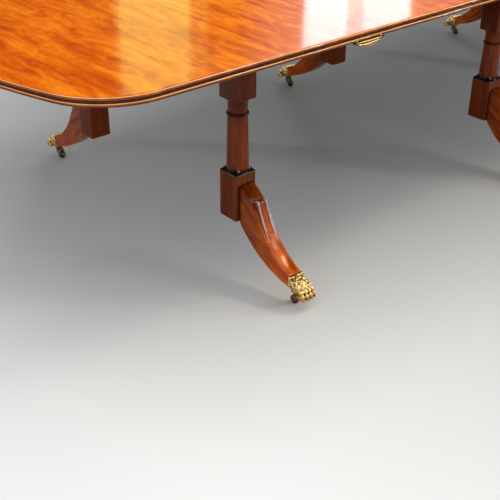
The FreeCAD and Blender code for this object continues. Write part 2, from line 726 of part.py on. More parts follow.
def end_slide(label, turn, y):
    """Rail of the left end, with a dovetail tongue on its +Y face near its inner end."""
    body = new_body(label)
    half = size("slide_width") / 2
    section = rectangle(y - half, slide_under, size("slide_width"), size("slide_height"))
    pad(body, "YZ_Plane", -slide_outer, size("slide_length"), section)
    root_half = size("groove_mouth") / 2 - size("seat_gap")
    tip_half = size("groove_floor") / 2 - size("seat_gap")
    face = y + half
    tip = face + size("groove_depth")
    pad(body, "YZ_Plane", -size("slide_inner") - size("tongue_length"), size("tongue_length"), [
        (face, slide_middle - root_half),
        (tip, slide_middle - tip_half),
        (tip, slide_middle + tip_half),
        (face, slide_middle + root_half),
    ])
    spots = [x for x, row in top_screw_spots() if row == y]
    pocket(body, "XY_Plane", top_under, top_under - top_screw_seat,
           circles=[(x, y, shank_hole_radius) for x in spots])
    pocket(body, "XY_Plane", top_screw_seat, top_screw_seat - slide_under,
           circles=[(x, y, counterbore_radius) for x in spots])
    bites = [(x - size("pair_spacing"), row, size("screw_radius")) for x, row in bearer_screw_spots([y])]
    pocket(body, "XY_Plane", slide_under + size("screw_bite"), size("screw_bite"), circles=bites)
    place_end(body, turn)


def centre_slide(label, y):
    """Rail of the middle pair, with a dovetail groove on each side for the end rails' tongues."""
    body = new_body(label)
    left = y - size("slide_width") / 2
    right = y + size("slide_width") / 2
    mouth = size("groove_mouth") / 2
    floor = size("groove_floor") / 2
    depth = size("groove_depth")
    pad(body, "YZ_Plane", -size("slide_length") / 2, size("slide_length"), [
        (left, slide_under),
        (right, slide_under),
        (right, slide_middle - mouth),
        (right - depth, slide_middle - floor),
        (right - depth, slide_middle + floor),
        (right, slide_middle + mouth),
        (right, top_under),
        (left, top_under),
        (left, slide_middle + mouth),
        (left + depth, slide_middle + floor),
        (left + depth, slide_middle - floor),
        (left, slide_middle - mouth),
    ])
    pegs = [(x, row, size("stop_radius")) for x, row in stop_spots(y)]
    peg_top = slide_middle + size("stop_length") / 2
    pocket(body, "XY_Plane", peg_top, peg_top - slide_under, circles=pegs)
    bites = [(x, row, size("screw_radius")) for x, row in bearer_screw_spots([y])]
    pocket(body, "XY_Plane", slide_under + size("screw_bite"), size("screw_bite"), circles=bites)
    place(body)


def stop_spots(y):
    """Where the two stop pegs of a centre rail stand: left end in its -Y groove, right end in its +Y groove."""
    groove_y = (size("slide_width") - size("groove_depth")) / 2
    return [(-stop_x, y - groove_y), (stop_x, y + groove_y)]


def stop_pegs(label):
    """The four pegs that stop the end rails' tongues."""
    pegs = []
    for y in (-centre_slide_y, centre_slide_y):
        for x, row in stop_spots(y):
            peg = doc.addObject("Part::Cylinder", "StopPeg")
            bind(peg, "Radius", size("stop_radius"))
            bind(peg, "Height", size("stop_length"))
            place(peg, x, row, slide_middle - size("stop_length") / 2)
            pegs.append(peg)
    group(label, pegs)


def group(label, members):
    """Several solids that share one node."""
    compound = doc.addObject("Part::Compound", label)
    compound.Label = label
    compound.Links = members
    made.append(compound)


def frame_screws(label, turn, top_spots, bearer_spots):
    """The wood screws of one frame, heads down: those into a top, and those into its rails."""
    seats = [(x, y, top_screw_seat) for x, y in top_spots] + [(x, y, bearer_screw_seat) for x, y in bearer_spots]
    sign = -1 if turn else 1
    screws = []
    for x, y, seat in seats:
        shank = doc.addObject("Part::Cylinder", "Shank")
        bind(shank, "Radius", size("screw_radius"))
        bind(shank, "Height", size("screw_length"))
        place(shank, x * sign, y * sign, seat)
        head = doc.addObject("Part::Cylinder", "Head")
        bind(head, "Radius", size("head_radius"))
        bind(head, "Height", size("head_height"))
        place(head, x * sign, y * sign, seat - size("head_height"))
        screw = doc.addObject("Part::Fuse", "Screw")
        screw.Base = shank
        screw.Tool = head
        screws.append(screw)
    group(label, screws)


# Clips, drawn about the left joint with the end top toward -X and the underside at zero
def clip(label, turn, side):
    """Brass fork clip: a half-moon bow under the edge and two arms that run in under the boards."""
    body = new_body(label)
    middle = -size("clip_offset")
    half = size("clip_half_length")
    top = -size("clip_gap")
    tip = top - size("clip_gap") * 4
    depth = size("clip_depth") + tip
    bow_radius = (half * half + depth * depth) / (depth * 2)
    outside = half_width + size("clip_proud")
    start = outside - size("clip_thickness") if side < 0 else -outside
    pad(body, "XZ_Plane", start, size("clip_thickness"), [
        (middle - half, top),
        (middle - half, tip),
        (middle + half, tip, bow_radius, 1),
        (middle + half, top),
    ])
    length = size("arm_length") + size("clip_proud")
    arm_y = -outside if side < 0 else outside - length
    arms = [rectangle(middle + size("arm_spread") * way - size("arm_width") / 2, arm_y, size("arm_width"), length)
            for way in (-1, 1)]
    pad(body, "XY_Plane", top, size("arm_height") - top, *arms)
    place_end(body, turn, -joint_x, top_under)


def clip_keepers(label, turn):
    """Two plates under an end top that hold the clips' arms up."""
    body = new_body(label)
    arm_x = -size("clip_offset") - size("arm_spread")
    first = half_width - size("keeper_inset") - size("keeper_length")
    channel_width = size("arm_width") + size("arm_play") * 2
    for side in (-1, 1):
        y = first if side > 0 else -first - size("keeper_length")
        plate = rectangle(arm_x - size("keeper_width") / 2, y, size("keeper_width"), size("keeper_length"))
        pad(body, "XY_Plane", -size("keeper_height"), size("keeper_height"), plate)
        channel = rectangle(arm_x - channel_width / 2, y, channel_width, size("keeper_length"))
        pocket(body, "XY_Plane", 0, size("clip_gap") + size("seat_gap"), channel)
    place_end(body, turn, -joint_x, top_under)


def place_end(thing, turn, x=0, z=0):
    """Place a piece drawn for the left end, or turn it round for the right end."""
    place(thing, -x if turn else x, z=z, turn=turn)


# The whole table
def build_station(name, along, across):
    """One column with its leg, paw and caster."""
    turn = 0 if across < 0 else 180
    x = size("pair_spacing") * along
    y = size("column_spread") * across
    drop = size("centre_block_drop") if along == 0 else 0
    column(f"{name}_column", x, y, turn, size("upper_block_bottom") - drop)
    leg(f"{name}_leg", x, y, turn)
    paw(f"{name}_paw", x, y, turn)
    pin_y = (size("column_spread") + pin_out) * across
    axle_y = (size("column_spread") + pin_out - size("wheel_trail")) * across
    caster_horn(f"{name}_caster_horn", x, pin_y, turn)
    caster_axle(f"{name}_caster_axle", x, axle_y, turn)
    caster_wheel(f"{name}_caster_wheel", x, axle_y, turn)


def build_end(end, turn):
    """Top, rails, bearer, clips and screws of one end; the right end is the left one turned round."""
    sides = ("far", "near") if turn else ("near", "far")
    rails = (-outer_slide_y, inner_slide_y)
    end_top(f"{end}_end_top", turn)
    bearer(f"{end}_bearer", turn, -size("pair_spacing"), size("bearer_height"), rails)
    for side, y, way in zip(sides, rails, (-1, 1)):
        end_slide(f"{end}_{side}_slide", turn, y)
        clip(f"{end}_{side}_clip", turn, way)
    clip_keepers(f"{end}_clip_keepers", turn)
    bearer_spots = [(x - size("pair_spacing"), y) for x, y in bearer_screw_spots(rails)]
    frame_screws(f"{end}_frame_screws", turn, top_screw_spots(), bearer_spots)
    leaf(f"{end}_leaf", size("leaf_width") * (1 if turn else -1), turn, True)


def build_centre():
    """Leaf, rails, bearer, stops and screws of the middle pair."""
    rails = (-centre_slide_y, centre_slide_y)
    leaf("centre_leaf", 0, 0, False)
    bearer("centre_bearer", 0, 0, size("centre_bearer_height"), rails)
    for side, y in zip(("near", "far"), rails):
        centre_slide(f"centre_{side}_slide", y)
    stop_pegs("centre_slide_stops")
    frame_screws("centre_frame_screws", 0, [], bearer_screw_spots(rails))


def check_and_save():
    """Save each piece once it has been found sound."""
    doc.recompute()
    for thing in doc.Objects:
        state = " ".join(thing.State)
        if "Invalid" in state or "Error" in state:
            raise RuntimeError(f"{thing.Label}: {state}")
    os.makedirs("parts", exist_ok=True)
    for piece in made:
        shape = piece.Shape
        if shape.isNull() or not shape.isValid():
            raise RuntimeError(f"{piece.Label} has no sound shape")
        shape.exportStep(f"parts/{piece.Label}.step")
        print(f"{piece.Label}: {len(shape.Solids)} solid(s), {shape.Volume / 1000:.1f} cm3")


for frame, along in (("left", -1), ("centre", 0), ("right", 1)):
    for side, across in (("near", -1), ("far", 1)):
        build_station(f"{frame}_{side}", along, across)
build_end("left", 0)
build_end("right", 180)
build_centre()
check_and_save()
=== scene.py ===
# %% [markdown]
# # A mahogany extending dining table
#
# The real table stands on three pairs of turned columns with sabre legs, brass lion-paw shoes and casters.
# Its two ends slide on a hidden underframe, and three loose leaves fill the space between them. The packed
# model already holds every piece at its true size, so this lesson only adds what a polisher's rag, a
# turner's chisel and a brass founder's chasing add: finishes, rounded corners, carving and light.

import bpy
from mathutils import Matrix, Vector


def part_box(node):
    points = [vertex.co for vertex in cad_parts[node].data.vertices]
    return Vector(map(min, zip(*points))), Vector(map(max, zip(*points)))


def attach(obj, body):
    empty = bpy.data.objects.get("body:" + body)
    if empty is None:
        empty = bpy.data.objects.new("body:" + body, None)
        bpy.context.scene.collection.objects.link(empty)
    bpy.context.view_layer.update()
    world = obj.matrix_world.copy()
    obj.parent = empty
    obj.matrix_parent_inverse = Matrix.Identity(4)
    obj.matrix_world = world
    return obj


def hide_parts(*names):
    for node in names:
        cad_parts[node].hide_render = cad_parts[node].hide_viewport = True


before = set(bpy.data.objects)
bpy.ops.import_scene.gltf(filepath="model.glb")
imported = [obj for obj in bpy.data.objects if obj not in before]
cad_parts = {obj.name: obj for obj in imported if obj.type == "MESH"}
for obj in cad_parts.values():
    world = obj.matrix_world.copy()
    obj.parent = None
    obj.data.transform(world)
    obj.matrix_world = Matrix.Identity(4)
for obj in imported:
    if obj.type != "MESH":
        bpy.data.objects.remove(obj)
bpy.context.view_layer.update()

# %% Tools for the whole lesson
import math

import bmesh
import bpy
from mathutils import Matrix, Vector

MM = 0.001
scene = bpy.context.scene
scene.view_settings.view_transform = "Standard"

# %% [markdown]
# ## The camera
#
# The photograph looks down on the left end of the table from about head height. The camera's place and
# angles were worked out by matching known points of the table, such as block corners and wheels, to where
# the picture shows them. Rotations are stacked in the order a tripod has them: pan, tilt, then roll.

# %% Set up the camera
CAMERA_PLACE = Vector((-2.5019, -2.0349, 1.3676))
CAMERA_PAN = math.radians(-41.133)
CAMERA_TILT = math.radians(30.787)
CAMERA_ROLL = math.radians(0.52)
CAMERA_LENS = 66.57
SENSOR_WIDTH = 36

camera = bpy.data.objects.new("camera", bpy.data.cameras.new("camera"))
camera.data.lens = CAMERA_LENS
camera.data.sensor_width = SENSOR_WIDTH
camera.matrix_world = (
    Matrix.Translation(CAMERA_PLACE)
    @ Matrix.Rotation(CAMERA_PAN, 4, "Z")
    @ Matrix.Rotation(math.pi / 2 - CAMERA_TILT, 4, "X")
    @ Matrix.Rotation(CAMERA_ROLL, 4, "Z")
)
scene.collection.objects.link(camera)
scene.camera = camera
print("camera with a", CAMERA_LENS, "mm lens at", tuple(CAMERA_PLACE))

# %% [markdown]
# ## Small helpers for materials
#
# A material is a graph of nodes, and most of the work is adding a node, setting its sockets and linking
# them. One helper adds any node. The others are what the recipes need again and again: a ramp, a blend, a
# sum, and measures of where a point lies and which way it faces.

# %% Nodes, colours and sums
X_AXIS, Y_AXIS, Z_AXIS = range(3)


def add(tree, kind, inputs=None, **settings):
    """Add a shader node; inputs may be plain values or other nodes' sockets."""
    made = tree.nodes.new("ShaderNode" + kind)
    for name, value in settings.items():
        setattr(made, name, value)
    for key, value in (inputs or {}).items():
        if isinstance(value, bpy.types.NodeSocket):
            tree.links.new(value, made.inputs[key])
        else:
            made.inputs[key].default_value = value
    return made


def ramp(tree, value, *stops):
    """Colour ramp; each stop is a place from 0 to 1 and a colour."""
    made = add(tree, "ValToRGB", {"Fac": value})
    points = made.color_ramp.elements
    for _ in stops[2:]:
        points.new(0.5)
    for point, (place, colour) in zip(points, stops):
        point.position = place
        point.color = (*colour, 1)
    return made.outputs["Color"]


def grey(level):
    """A neutral colour."""
    return (level, level, level)


def blend(tree, share, first, second):
    """A colour between two others; a share of 1 is the second."""
    return add(tree, "MixRGB", {"Fac": share, "Color1": first, "Color2": second}).outputs[0]


def darken(tree, colour, shade, strength=1.0):
    """A colour multiplied by a shade."""
    inputs = {"Fac": strength, "Color1": colour, "Color2": shade}
    return add(tree, "MixRGB", inputs, blend_type="MULTIPLY").outputs[0]


def calculate(tree, operation, *values):
    """The result of one sum on sockets or plain numbers."""
    return add(tree, "Math", dict(enumerate(values)), operation=operation).outputs[0]


def weighted(tree, *terms):
    """Sum of sockets, each with its weight."""
    total = None
    for socket, weight in terms:
        scaled = calculate(tree, "MULTIPLY", socket, weight)
        total = scaled if total is None else calculate(tree, "ADD", total, scaled)
    return total


print("helpers for nodes, colours and sums ready")

# %% Places, directions and whole materials
def coordinate(tree, place, axis):
    """One coordinate of a place."""
    return add(tree, "SeparateXYZ", {0: place}).outputs[axis]


def facing_up(tree):
    """How far a surface faces up: 1 is level, 0 upright, -1 an underside."""
    return coordinate(tree, add(tree, "NewGeometry").outputs["Normal"], Z_AXIS)


def share_between(tree, value, low, high):
    """How far a value has come from low to high, from 0 to 1."""
    return add(tree, "MapRange", {"Value": value, "From Min": low, "From Max": high}).outputs[0]


def start_material(name):
    """A material with its tree and its main shader."""
    material = bpy.data.materials.new(name)
    material.use_nodes = True
    return material, material.node_tree, material.node_tree.nodes["Principled BSDF"]


def set_polish(shader, weight, rough, ior):
    """A clear coat of polish; the wood under it has no shine of its own."""
    shader.inputs["Specular IOR Level"].default_value = 0.0
    shader.inputs["Coat Weight"].default_value = weight
    shader.inputs["Coat Roughness"].default_value = rough
    shader.inputs["Coat IOR"].default_value = ior


print("helpers for places, directions and materials ready")

# %% [markdown]
# ## French-polished mahogany
#
# Mahogany shows three scales at once: broad ribbons where the grain reverses, finer streaks along the
# boards, and short dark pores. Each is a noise texture stretched along the grain. A painted image could do
# it too, but noise in the piece's own coordinates runs through the wood like real grain and needs no file.
# The polish itself is the shader's coat: nearly smooth, with a faint wave so that reflections wander.

# %% Grain
GRAIN_SHIFT = (1.0, 1.7, 0.6)


def grain_noise(tree, coords, along, counts, seed, detail=3.0, wander=0.6):
    """Noise drawn out along one axis; counts are features per metre, across the grain and along it."""
    across_count, along_count = counts
    stretch = [along_count if axis == along else across_count for axis in range(3)]
    shift = [seed * step for step in GRAIN_SHIFT]
    mapped = add(tree, "Mapping", {"Vector": coords, "Scale": stretch, "Location": shift}).outputs[0]
    settings = {"Vector": mapped, "Scale": 1.0, "Detail": detail, "Distortion": wander}
    return add(tree, "TexNoise", settings).outputs["Fac"]


print("grain is drawn out along any axis")

# %% Wood finish
HOLLOW_SHADE_REACH = 14 * MM
PORE_STRENGTH = 0.6
BOARD_RIBBON = (13.0, 2.0)
POST_RIBBON = (22.0, 3.0)
CLOUDS = (28.0, 11.0)
STREAKS = (90.0, 5.0)
PORES = (1300.0, 55.0)
WAVE = (7.0, 3.5)


def polished_wood(name, colours, along, seed, turn=0.0, ribbon=BOARD_RIBBON, coat=0.6, coat_rough=0.08,
                  coat_ior=1.5, wave_depth=0.55, stain_and_painted_light=None):
    """Mahogany with its grain along an axis, after a turn about X.

    The colours run from dark to light, the wave's depth is in millimetres, and the last argument adds stains,
    painted shade and painted highlights to the wood.
    """
    material, tree, shader = start_material(name)
    place = add(tree, "TexCoord").outputs["Object"]
    coords = add(tree, "Mapping", {"Vector": place, "Rotation": (turn, 0, 0)}).outputs[0]
    ribbons = grain_noise(tree, coords, along, ribbon, seed, detail=3.0, wander=1.8)
    clouds = grain_noise(tree, coords, along, CLOUDS, seed + 5, detail=5.0, wander=1.4)
    streaks = grain_noise(tree, coords, along, STREAKS, seed + 3, detail=4.0, wander=0.7)
    pores = grain_noise(tree, coords, along, PORES, seed + 11, detail=1.0)
    wave = grain_noise(tree, coords, along, WAVE, seed + 17, detail=1.0, wander=0.0)
    figure = weighted(tree, (ribbons, 0.46), (clouds, 0.4), (streaks, 0.14))
    dark, middle, light = colours
    body = ramp(tree, figure, (0.38, dark), (0.49, middle), (0.6, light))
    pore_shade = ramp(tree, pores, (0.58, grey(1.0)), (0.75, grey(0.6)))
    colour = darken(tree, body, pore_shade, PORE_STRENGTH)
    # Stains, painted shade and painted highlights from the piece's own recipe.
    if stain_and_painted_light:
        colour = stain_and_painted_light(tree, place, colour)
    # Painted shade: ambient occlusion darkens every hollow, crease and corner nearly to black, as shade falls
    # there.
    hollows = add(tree, "AmbientOcclusion", {"Distance": HOLLOW_SHADE_REACH}, samples=6).outputs["AO"]
    hollow_shade = ramp(tree, hollows, (0.42, grey(0.03)), (0.78, grey(1.0)))
    tree.links.new(darken(tree, colour, hollow_shade), shader.inputs["Base Color"])
    rough = ramp(tree, streaks, (0.3, grey(0.35)), (0.7, grey(0.48)))
    tree.links.new(rough, shader.inputs["Roughness"])
    relief = weighted(tree, (wave, 1.0), (clouds, 0.09), (pores, 0.01))
    bump = add(tree, "Bump", {"Height": relief, "Strength": 1.0, "Distance": wave_depth * MM}).outputs[0]
    for socket in ("Normal", "Coat Normal"):
        tree.links.new(bump, shader.inputs[socket])
    set_polish(shader, coat, coat_rough, coat_ior)
    return material


TOP_COLOURS = ((0.48, 0.062, 0.001), (0.69, 0.118, 0.001), (0.85, 0.212, 0.006))
FRAME_COLOURS = ((0.115, 0.018, 0.004), (0.165, 0.026, 0.005), (0.22, 0.037, 0.007))
LEG_COLOURS = ((0.3, 0.036, 0.003), (0.54, 0.084, 0.004), (0.76, 0.17, 0.008))
print("wood recipe ready")

# %% [markdown]
# ## Stains, painted shade and painted highlights on the wood
#
# Two hundred years of wax darken a board's joints, and a joiner leaves undersides raw. Shade is painted into
# the wood as well. Each mark is a ramp over a coordinate or a direction that belongs to the piece itself:
# painted shade in the channel of the reeded edge by its height, the raw underside of a board by the way it
# faces, and painted shade on the upper end of a leg by its distance from the column. Painted highlights on the
# edge's crests
# are the other way round: there the colour is painted pale where light would catch.

# %% Stains, painted shade and painted highlights on a board
BOARD_LOW, BOARD_HIGH = 703 * MM, 725 * MM
RAW_WOOD = (0.05, 0.034, 0.022, 1)
PAINTED_HIGHLIGHT = (1.0, 0.56, 0.2, 1)
CHANNEL_SHADE_BROWN = (0.16, 0.08, 0.05)
JOINT_WAX = 1.5 * MM
LINE_SHADE = 0.1


def near_line(tree, socket, line, reach):
    """A shade that falls to its least value where a coordinate comes near a line."""
    distance = calculate(tree, "ABSOLUTE", calculate(tree, "SUBTRACT", socket, line))
    settings = {"Value": distance, "From Max": reach, "To Min": LINE_SHADE}
    return add(tree, "MapRange", settings).outputs[0]


def board_stains_and_painted_light(joints):
    """Marks for one board: painted shade along its edge, in its channel and under its beads, wax in its joints,
    a painted highlight along each bead's crest, a raw underside.
    """
    def recolour(tree, place, colour):
        height = share_between(tree, coordinate(tree, place, Z_AXIS), BOARD_LOW, BOARD_HIGH)
        # Painted shade by height: the underside of the lower bead and the channel between the beads are
        # darkened as shade would fall there.
        channel_shade = ramp(tree, height, (0.0, grey(0.3)), (0.17, grey(0.45)), (0.24, grey(1)), (0.42, grey(1)),
                       (0.46, CHANNEL_SHADE_BROWN), (0.57, CHANNEL_SHADE_BROWN), (0.61, grey(1)))
        facing = facing_up(tree)
        slope = share_between(tree, facing, -1.0, 1.0)
        # Painted shade by facing: the edge darker than the top, downward faces darkest, with a dark line where
        # the top rolls onto the bead.
        shaded = ramp(tree, slope, (0.2, grey(0.25)), (0.5, grey(0.48)), (0.75, grey(0.6)),
                      (0.95, grey(0.45)), (0.99, grey(1)))
        # Painted highlight: a pale line along the upper shoulder of each bead, where light would catch.
        highlight_band = ramp(tree, slope, (0.74, grey(0)), (0.8, grey(0.9)), (0.86, grey(0.9)), (0.91, grey(0)))
        waxed_and_shaded = darken(tree, darken(tree, colour, channel_shade), shaded)
        for joint in joints:
            waxed_and_shaded = darken(tree, waxed_and_shaded, near_line(tree, coordinate(tree, place, X_AXIS), joint, JOINT_WAX))
        wear_and_highlight = blend(tree, highlight_band, waxed_and_shaded, PAINTED_HIGHLIGHT)
        below = share_between(tree, facing, -0.6, -0.9)
        return blend(tree, below, wear_and_highlight, RAW_WOOD)
    return recolour


print("board stains lie between", BOARD_LOW, "and", BOARD_HIGH, "m")

# %% Painted shade and a black ring on a column, painted shade on a leg
RING_HALF = 6 * MM
LEG_SHADE_REACH = 200 * MM


def column_shade_and_ring(ring):
    """Marks for one column: painted shade on the blocks, darkest on the upper one under the top, a black ring,
    a clear shaft; the ramp's places are metres.
    """
    def recolour(tree, place, colour):
        height = coordinate(tree, place, Z_AXIS)
        # Painted shade by height: the lower block a little darker, the upper block much darker, as the top
        # shades it.
        shade = ramp(tree, height, (0.3, grey(0.8)), (0.34, grey(1.0)), (0.41, grey(1.0)), (0.5, grey(0.5)))
        return darken(tree, darken(tree, colour, shade), near_line(tree, height, ring, RING_HALF))
    return recolour


def leg_shade(foot, way):
    """Painted shade for one leg: dark beside the block, where the top shades it, clear from the tablet's nose
    outward; upper faces and sides are shaded apart.
    """
    def recolour(tree, place, colour):
        out = share_between(tree, coordinate(tree, place, Y_AXIS), foot.y, foot.y + way * LEG_SHADE_REACH)
        # Painted shade along the leg and by facing: upper faces and side faces each get a ramp of their own.
        upper_face_shade = ramp(tree, out, (0.15, grey(0.25)), (0.43, grey(0.36)), (0.5, grey(0.8)),
                          (0.9, grey(1.0)))
        side_face_shade = ramp(tree, out, (0.1, grey(0.36)), (0.5, grey(0.55)), (1.0, grey(0.95)))
        upward = share_between(tree, facing_up(tree), 0.1, 0.4)
        return darken(tree, colour, blend(tree, upward, side_face_shade, upper_face_shade))
    return recolour


# The leg's marks are painted shade, reaching this far out from the column's axis.
print("leg stains reach", LEG_SHADE_REACH, "m from the column's axis")

# %% [markdown]
# ## Brass, waxed slides and screws
#
# Old polished brass is warm and bright on its high places and keeps brown tarnish in its hollows. An ambient
# occlusion node finds the hollows, so one recipe suits a chased paw and a plain wheel. The slides under
# the top are waxed, not polished, so they get a thin, rough coat.

# %% Brass, slide and screw finishes
PAINTED_SHADE_BROWN = (0.72, 0.5, 0.26)


def old_brass(name, bright, tarnish, reach, seed, shaded_below=None):
    """Polished brass; a hollow tarnishes within that reach, and below the lower of two heights the brass is
    browned as a painted shade, fading out by the higher.
    """
    material, tree, shader = start_material(name)
    place = add(tree, "TexCoord").outputs["Object"]
    clouds = add(tree, "TexNoise", {"Vector": place, "Scale": 90.0 + seed, "Detail": 4.0}).outputs["Fac"]
    hollows = add(tree, "AmbientOcclusion", {"Distance": reach}, samples=8).outputs["AO"]
    wear_and_highlight = weighted(tree, (hollows, 0.8), (clouds, 0.2))
    middle = [(a + b) / 2 for a, b in zip(bright, tarnish)]
    colour = ramp(tree, wear_and_highlight, (0.45, tarnish), (0.68, middle), (0.87, bright))
    # Painted shade: the brass is browned towards the floor.
    if shaded_below:
        height = share_between(tree, coordinate(tree, place, Z_AXIS), *shaded_below)
        colour = darken(tree, colour, ramp(tree, height, (0.0, PAINTED_SHADE_BROWN), (1.0, grey(1))))
    tree.links.new(colour, shader.inputs["Base Color"])
    rough = ramp(tree, wear_and_highlight, (0.45, grey(0.55)), (0.87, grey(0.22)))
    tree.links.new(rough, shader.inputs["Roughness"])
    bump = add(tree, "Bump", {"Height": clouds, "Strength": 0.2, "Distance": 0.4 * MM})
    tree.links.new(bump.outputs[0], shader.inputs["Normal"])
    shader.inputs["Metallic"].default_value = 1.0
    return material


BRASS_BRIGHT = (0.76, 0.52, 0.2)
SLIDE_COLOURS = ((0.1, 0.045, 0.018), (0.19, 0.095, 0.042), (0.28, 0.15, 0.07))
brass = old_brass("polished_brass", BRASS_BRIGHT, (0.16, 0.075, 0.02), 6 * MM, 0)
dull_brass = old_brass("dull_brass", (0.3, 0.18, 0.07), (0.05, 0.028, 0.012), 8 * MM, 9)
dark_wheel = old_brass("dark_wheel", (0.1, 0.065, 0.04), (0.02, 0.014, 0.01), 8 * MM, 13)
slide_wood = polished_wood("waxed_slide_wood", SLIDE_COLOURS, X_AXIS, 4.0, coat_rough=0.4, coat=0.15)
bearer_wood = polished_wood("waxed_bearer_wood", SLIDE_COLOURS, Y_AXIS, 6.0, coat_rough=0.4, coat=0.15)
screw_steel = old_brass("screw_steel", (0.42, 0.42, 0.43), (0.1, 0.08, 0.06), 4 * MM, 5)
print("brass, slide wood and screw steel ready")

# %% [markdown]
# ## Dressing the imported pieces
#
# The boards, legs, slides and casters already have the right shape, so they stay and only get a finish. The
# columns, paws and clips get one too, though a finer piece takes their place further on. Each board and leg
# has a seed of its own, because no two planks look alike. The columns' grain runs up, the boards' grain runs
# across the table, and the legs' grain follows their slope.

# %% Dress the boards
FRAMES = ("left", "centre", "right")
ENDS = ("left", "right")
OUTWARD = {"near": -1, "far": 1}
BOARDS = ("left_end_top", "left_leaf", "centre_leaf", "right_leaf", "right_end_top")
BOARD_SEED, BOARD_SEED_STEP = 2.3, 5.1


def dress(node, material):
    """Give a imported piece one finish."""
    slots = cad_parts[node].data.materials
    slots.clear()
    slots.append(material)


def joints_of(board):
    """Where a board meets its neighbours along the table."""
    low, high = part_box(board)
    if board == BOARDS[0]:
        return [high.x]
    if board == BOARDS[-1]:
        return [low.x]
    return [low.x, high.x]


for number, board in enumerate(BOARDS):
    joints = joints_of(board)
    seed = BOARD_SEED + number * BOARD_SEED_STEP
    dress(board, polished_wood(f"{board}_polish", TOP_COLOURS, Y_AXIS, seed, stain_and_painted_light=board_stains_and_painted_light(joints)))
    print(board, "meets its neighbours at", [round(joint, 4) for joint in joints])

# %% Dress the columns, legs, slides and brass
LEG_SLOPE = math.radians(52)
RINGS = {"left": 463 * MM, "centre": 423 * MM, "right": 463 * MM}
POST_SEED = 30


def column_axis(name, side):
    """Where a column stands, from the middle of its packed box."""
    low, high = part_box(f"{name}_{side}_column")
    return Vector(((low.x + high.x) / 2, (low.y + high.y) / 2, 0))


def column_polish(station, seed, ring):
    """Finish of one column."""
    return polished_wood(f"{station}_column_polish", FRAME_COLOURS, Z_AXIS, seed, ribbon=POST_RIBBON,
                         coat=1.0, coat_rough=0.08, coat_ior=1.22, wave_depth=0.15, stain_and_painted_light=column_shade_and_ring(ring))


def leg_polish(station, seed, foot, way):
    """Finish of one leg."""
    return polished_wood(f"{station}_leg_polish", LEG_COLOURS, Z_AXIS, seed, turn=-way * LEG_SLOPE,
                         ribbon=POST_RIBBON, coat=0.9, coat_rough=0.14, coat_ior=1.32, wave_depth=0.05,
                         stain_and_painted_light=leg_shade(foot, way))


for number, name in enumerate(FRAMES):
    dress(f"{name}_bearer", bearer_wood)
    dress(f"{name}_frame_screws", screw_steel)
    for side, way in OUTWARD.items():
        station = f"{name}_{side}"
        seed = POST_SEED + number * 4 + way
        dress(f"{station}_slide", slide_wood)
        dress(f"{station}_column", column_polish(station, seed, RINGS[name]))
        dress(f"{station}_leg", leg_polish(station, seed + 1, column_axis(name, side), way))
        dress(f"{station}_paw", brass)
        dress(f"{station}_caster_horn", dull_brass)
        dress(f"{station}_caster_axle", dull_brass)
        dress(f"{station}_caster_wheel", dark_wheel)
for name in ENDS:
    dress(f"{name}_clip_keepers", brass)
    for side in OUTWARD:
        dress(f"{name}_{side}_clip", brass)
dress("centre_slide_stops", slide_wood)
print("every packed piece has a finish")

# %% [markdown]
# ## Softened arrises
#
# A cabinet maker eases every sharp edge with a stroke of glass-paper, and that small round is what catches
# the light along a board or a leg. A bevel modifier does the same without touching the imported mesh. The
# packed faces don't share their corner points, so a weld modifier joins them first.

# %% Ease the edges of legs and boards
LEG_EASE = 1.6 * MM
BOARD_EASE = 0.8 * MM
SHARP_FROM = math.radians(38)


def ease(node, width):
    """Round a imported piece's sharp edges by a bevel of that width, in metres."""
    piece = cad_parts[node]
    weld = piece.modifiers.new("join corners", "WELD")
    weld.merge_threshold = 0.02 * MM
    bevel = piece.modifiers.new("eased arrises", "BEVEL")
    bevel.width = width
    bevel.segments = 3
    bevel.limit_method = "ANGLE"
    bevel.angle_limit = SHARP_FROM
    bevel.harden_normals = True
    bevel.use_clamp_overlap = True


for name in FRAMES:
    for side in OUTWARD:
        ease(f"{name}_{side}_leg", LEG_EASE)
for board in BOARDS:
    ease(board, BOARD_EASE)
print("arrises of", len(FRAMES) * len(OUTWARD) + len(BOARDS), "pieces eased")

# %% [markdown]
# ## Beads on the leg's tablet
#
# The raised tablet on each leg carries two fine beads along its edges, which die away half-way down. They
# follow the tablet's own hollow curve, an arc between its nose and the point where it sinks into the leg.
# A curve with a round bevel and a tapered end makes each bead; a carved profile would need far more faces.

# %% Draw the line of a bead
NOSE_BACK = (87 * MM, 240.5 * MM)
NOSE = (97.5 * MM, 246 * MM)
DIES_AWAY = (147 * MM, 144.5 * MM)
NOSE_ROUND = 12 * MM
TABLET_HOLLOW = 414 * MM
BEAD_RADIUS = 3.6 * MM
BEAD_START = 0.6
NOSE_POINTS = 6
BEAD_POINTS = 28


def hollow_arc(first, last, radius, count):
    """Points along a hollow arc between two points, in the plane of (outward, up)."""
    a, b = Vector(first), Vector(last)
    chord = b - a
    across = Vector((-chord.y, chord.x)).normalized()
    middle = (a + b) / 2 + across * math.sqrt(radius ** 2 - (chord.length / 2) ** 2)
    start = math.atan2(*reversed(a - middle))
    sweep = math.remainder(math.atan2(*reversed(b - middle)) - start, math.tau)
    angles = (start + sweep * step / (count - 1) for step in range(count))
    return [middle + radius * Vector((math.cos(angle), math.sin(angle))) for angle in angles]


def bead_radius(step, last):
    """Radius at a step: full at first, thinner over the last third."""
    return BEAD_RADIUS * min(1.0, 3 * (1 - step / last) + 0.1)


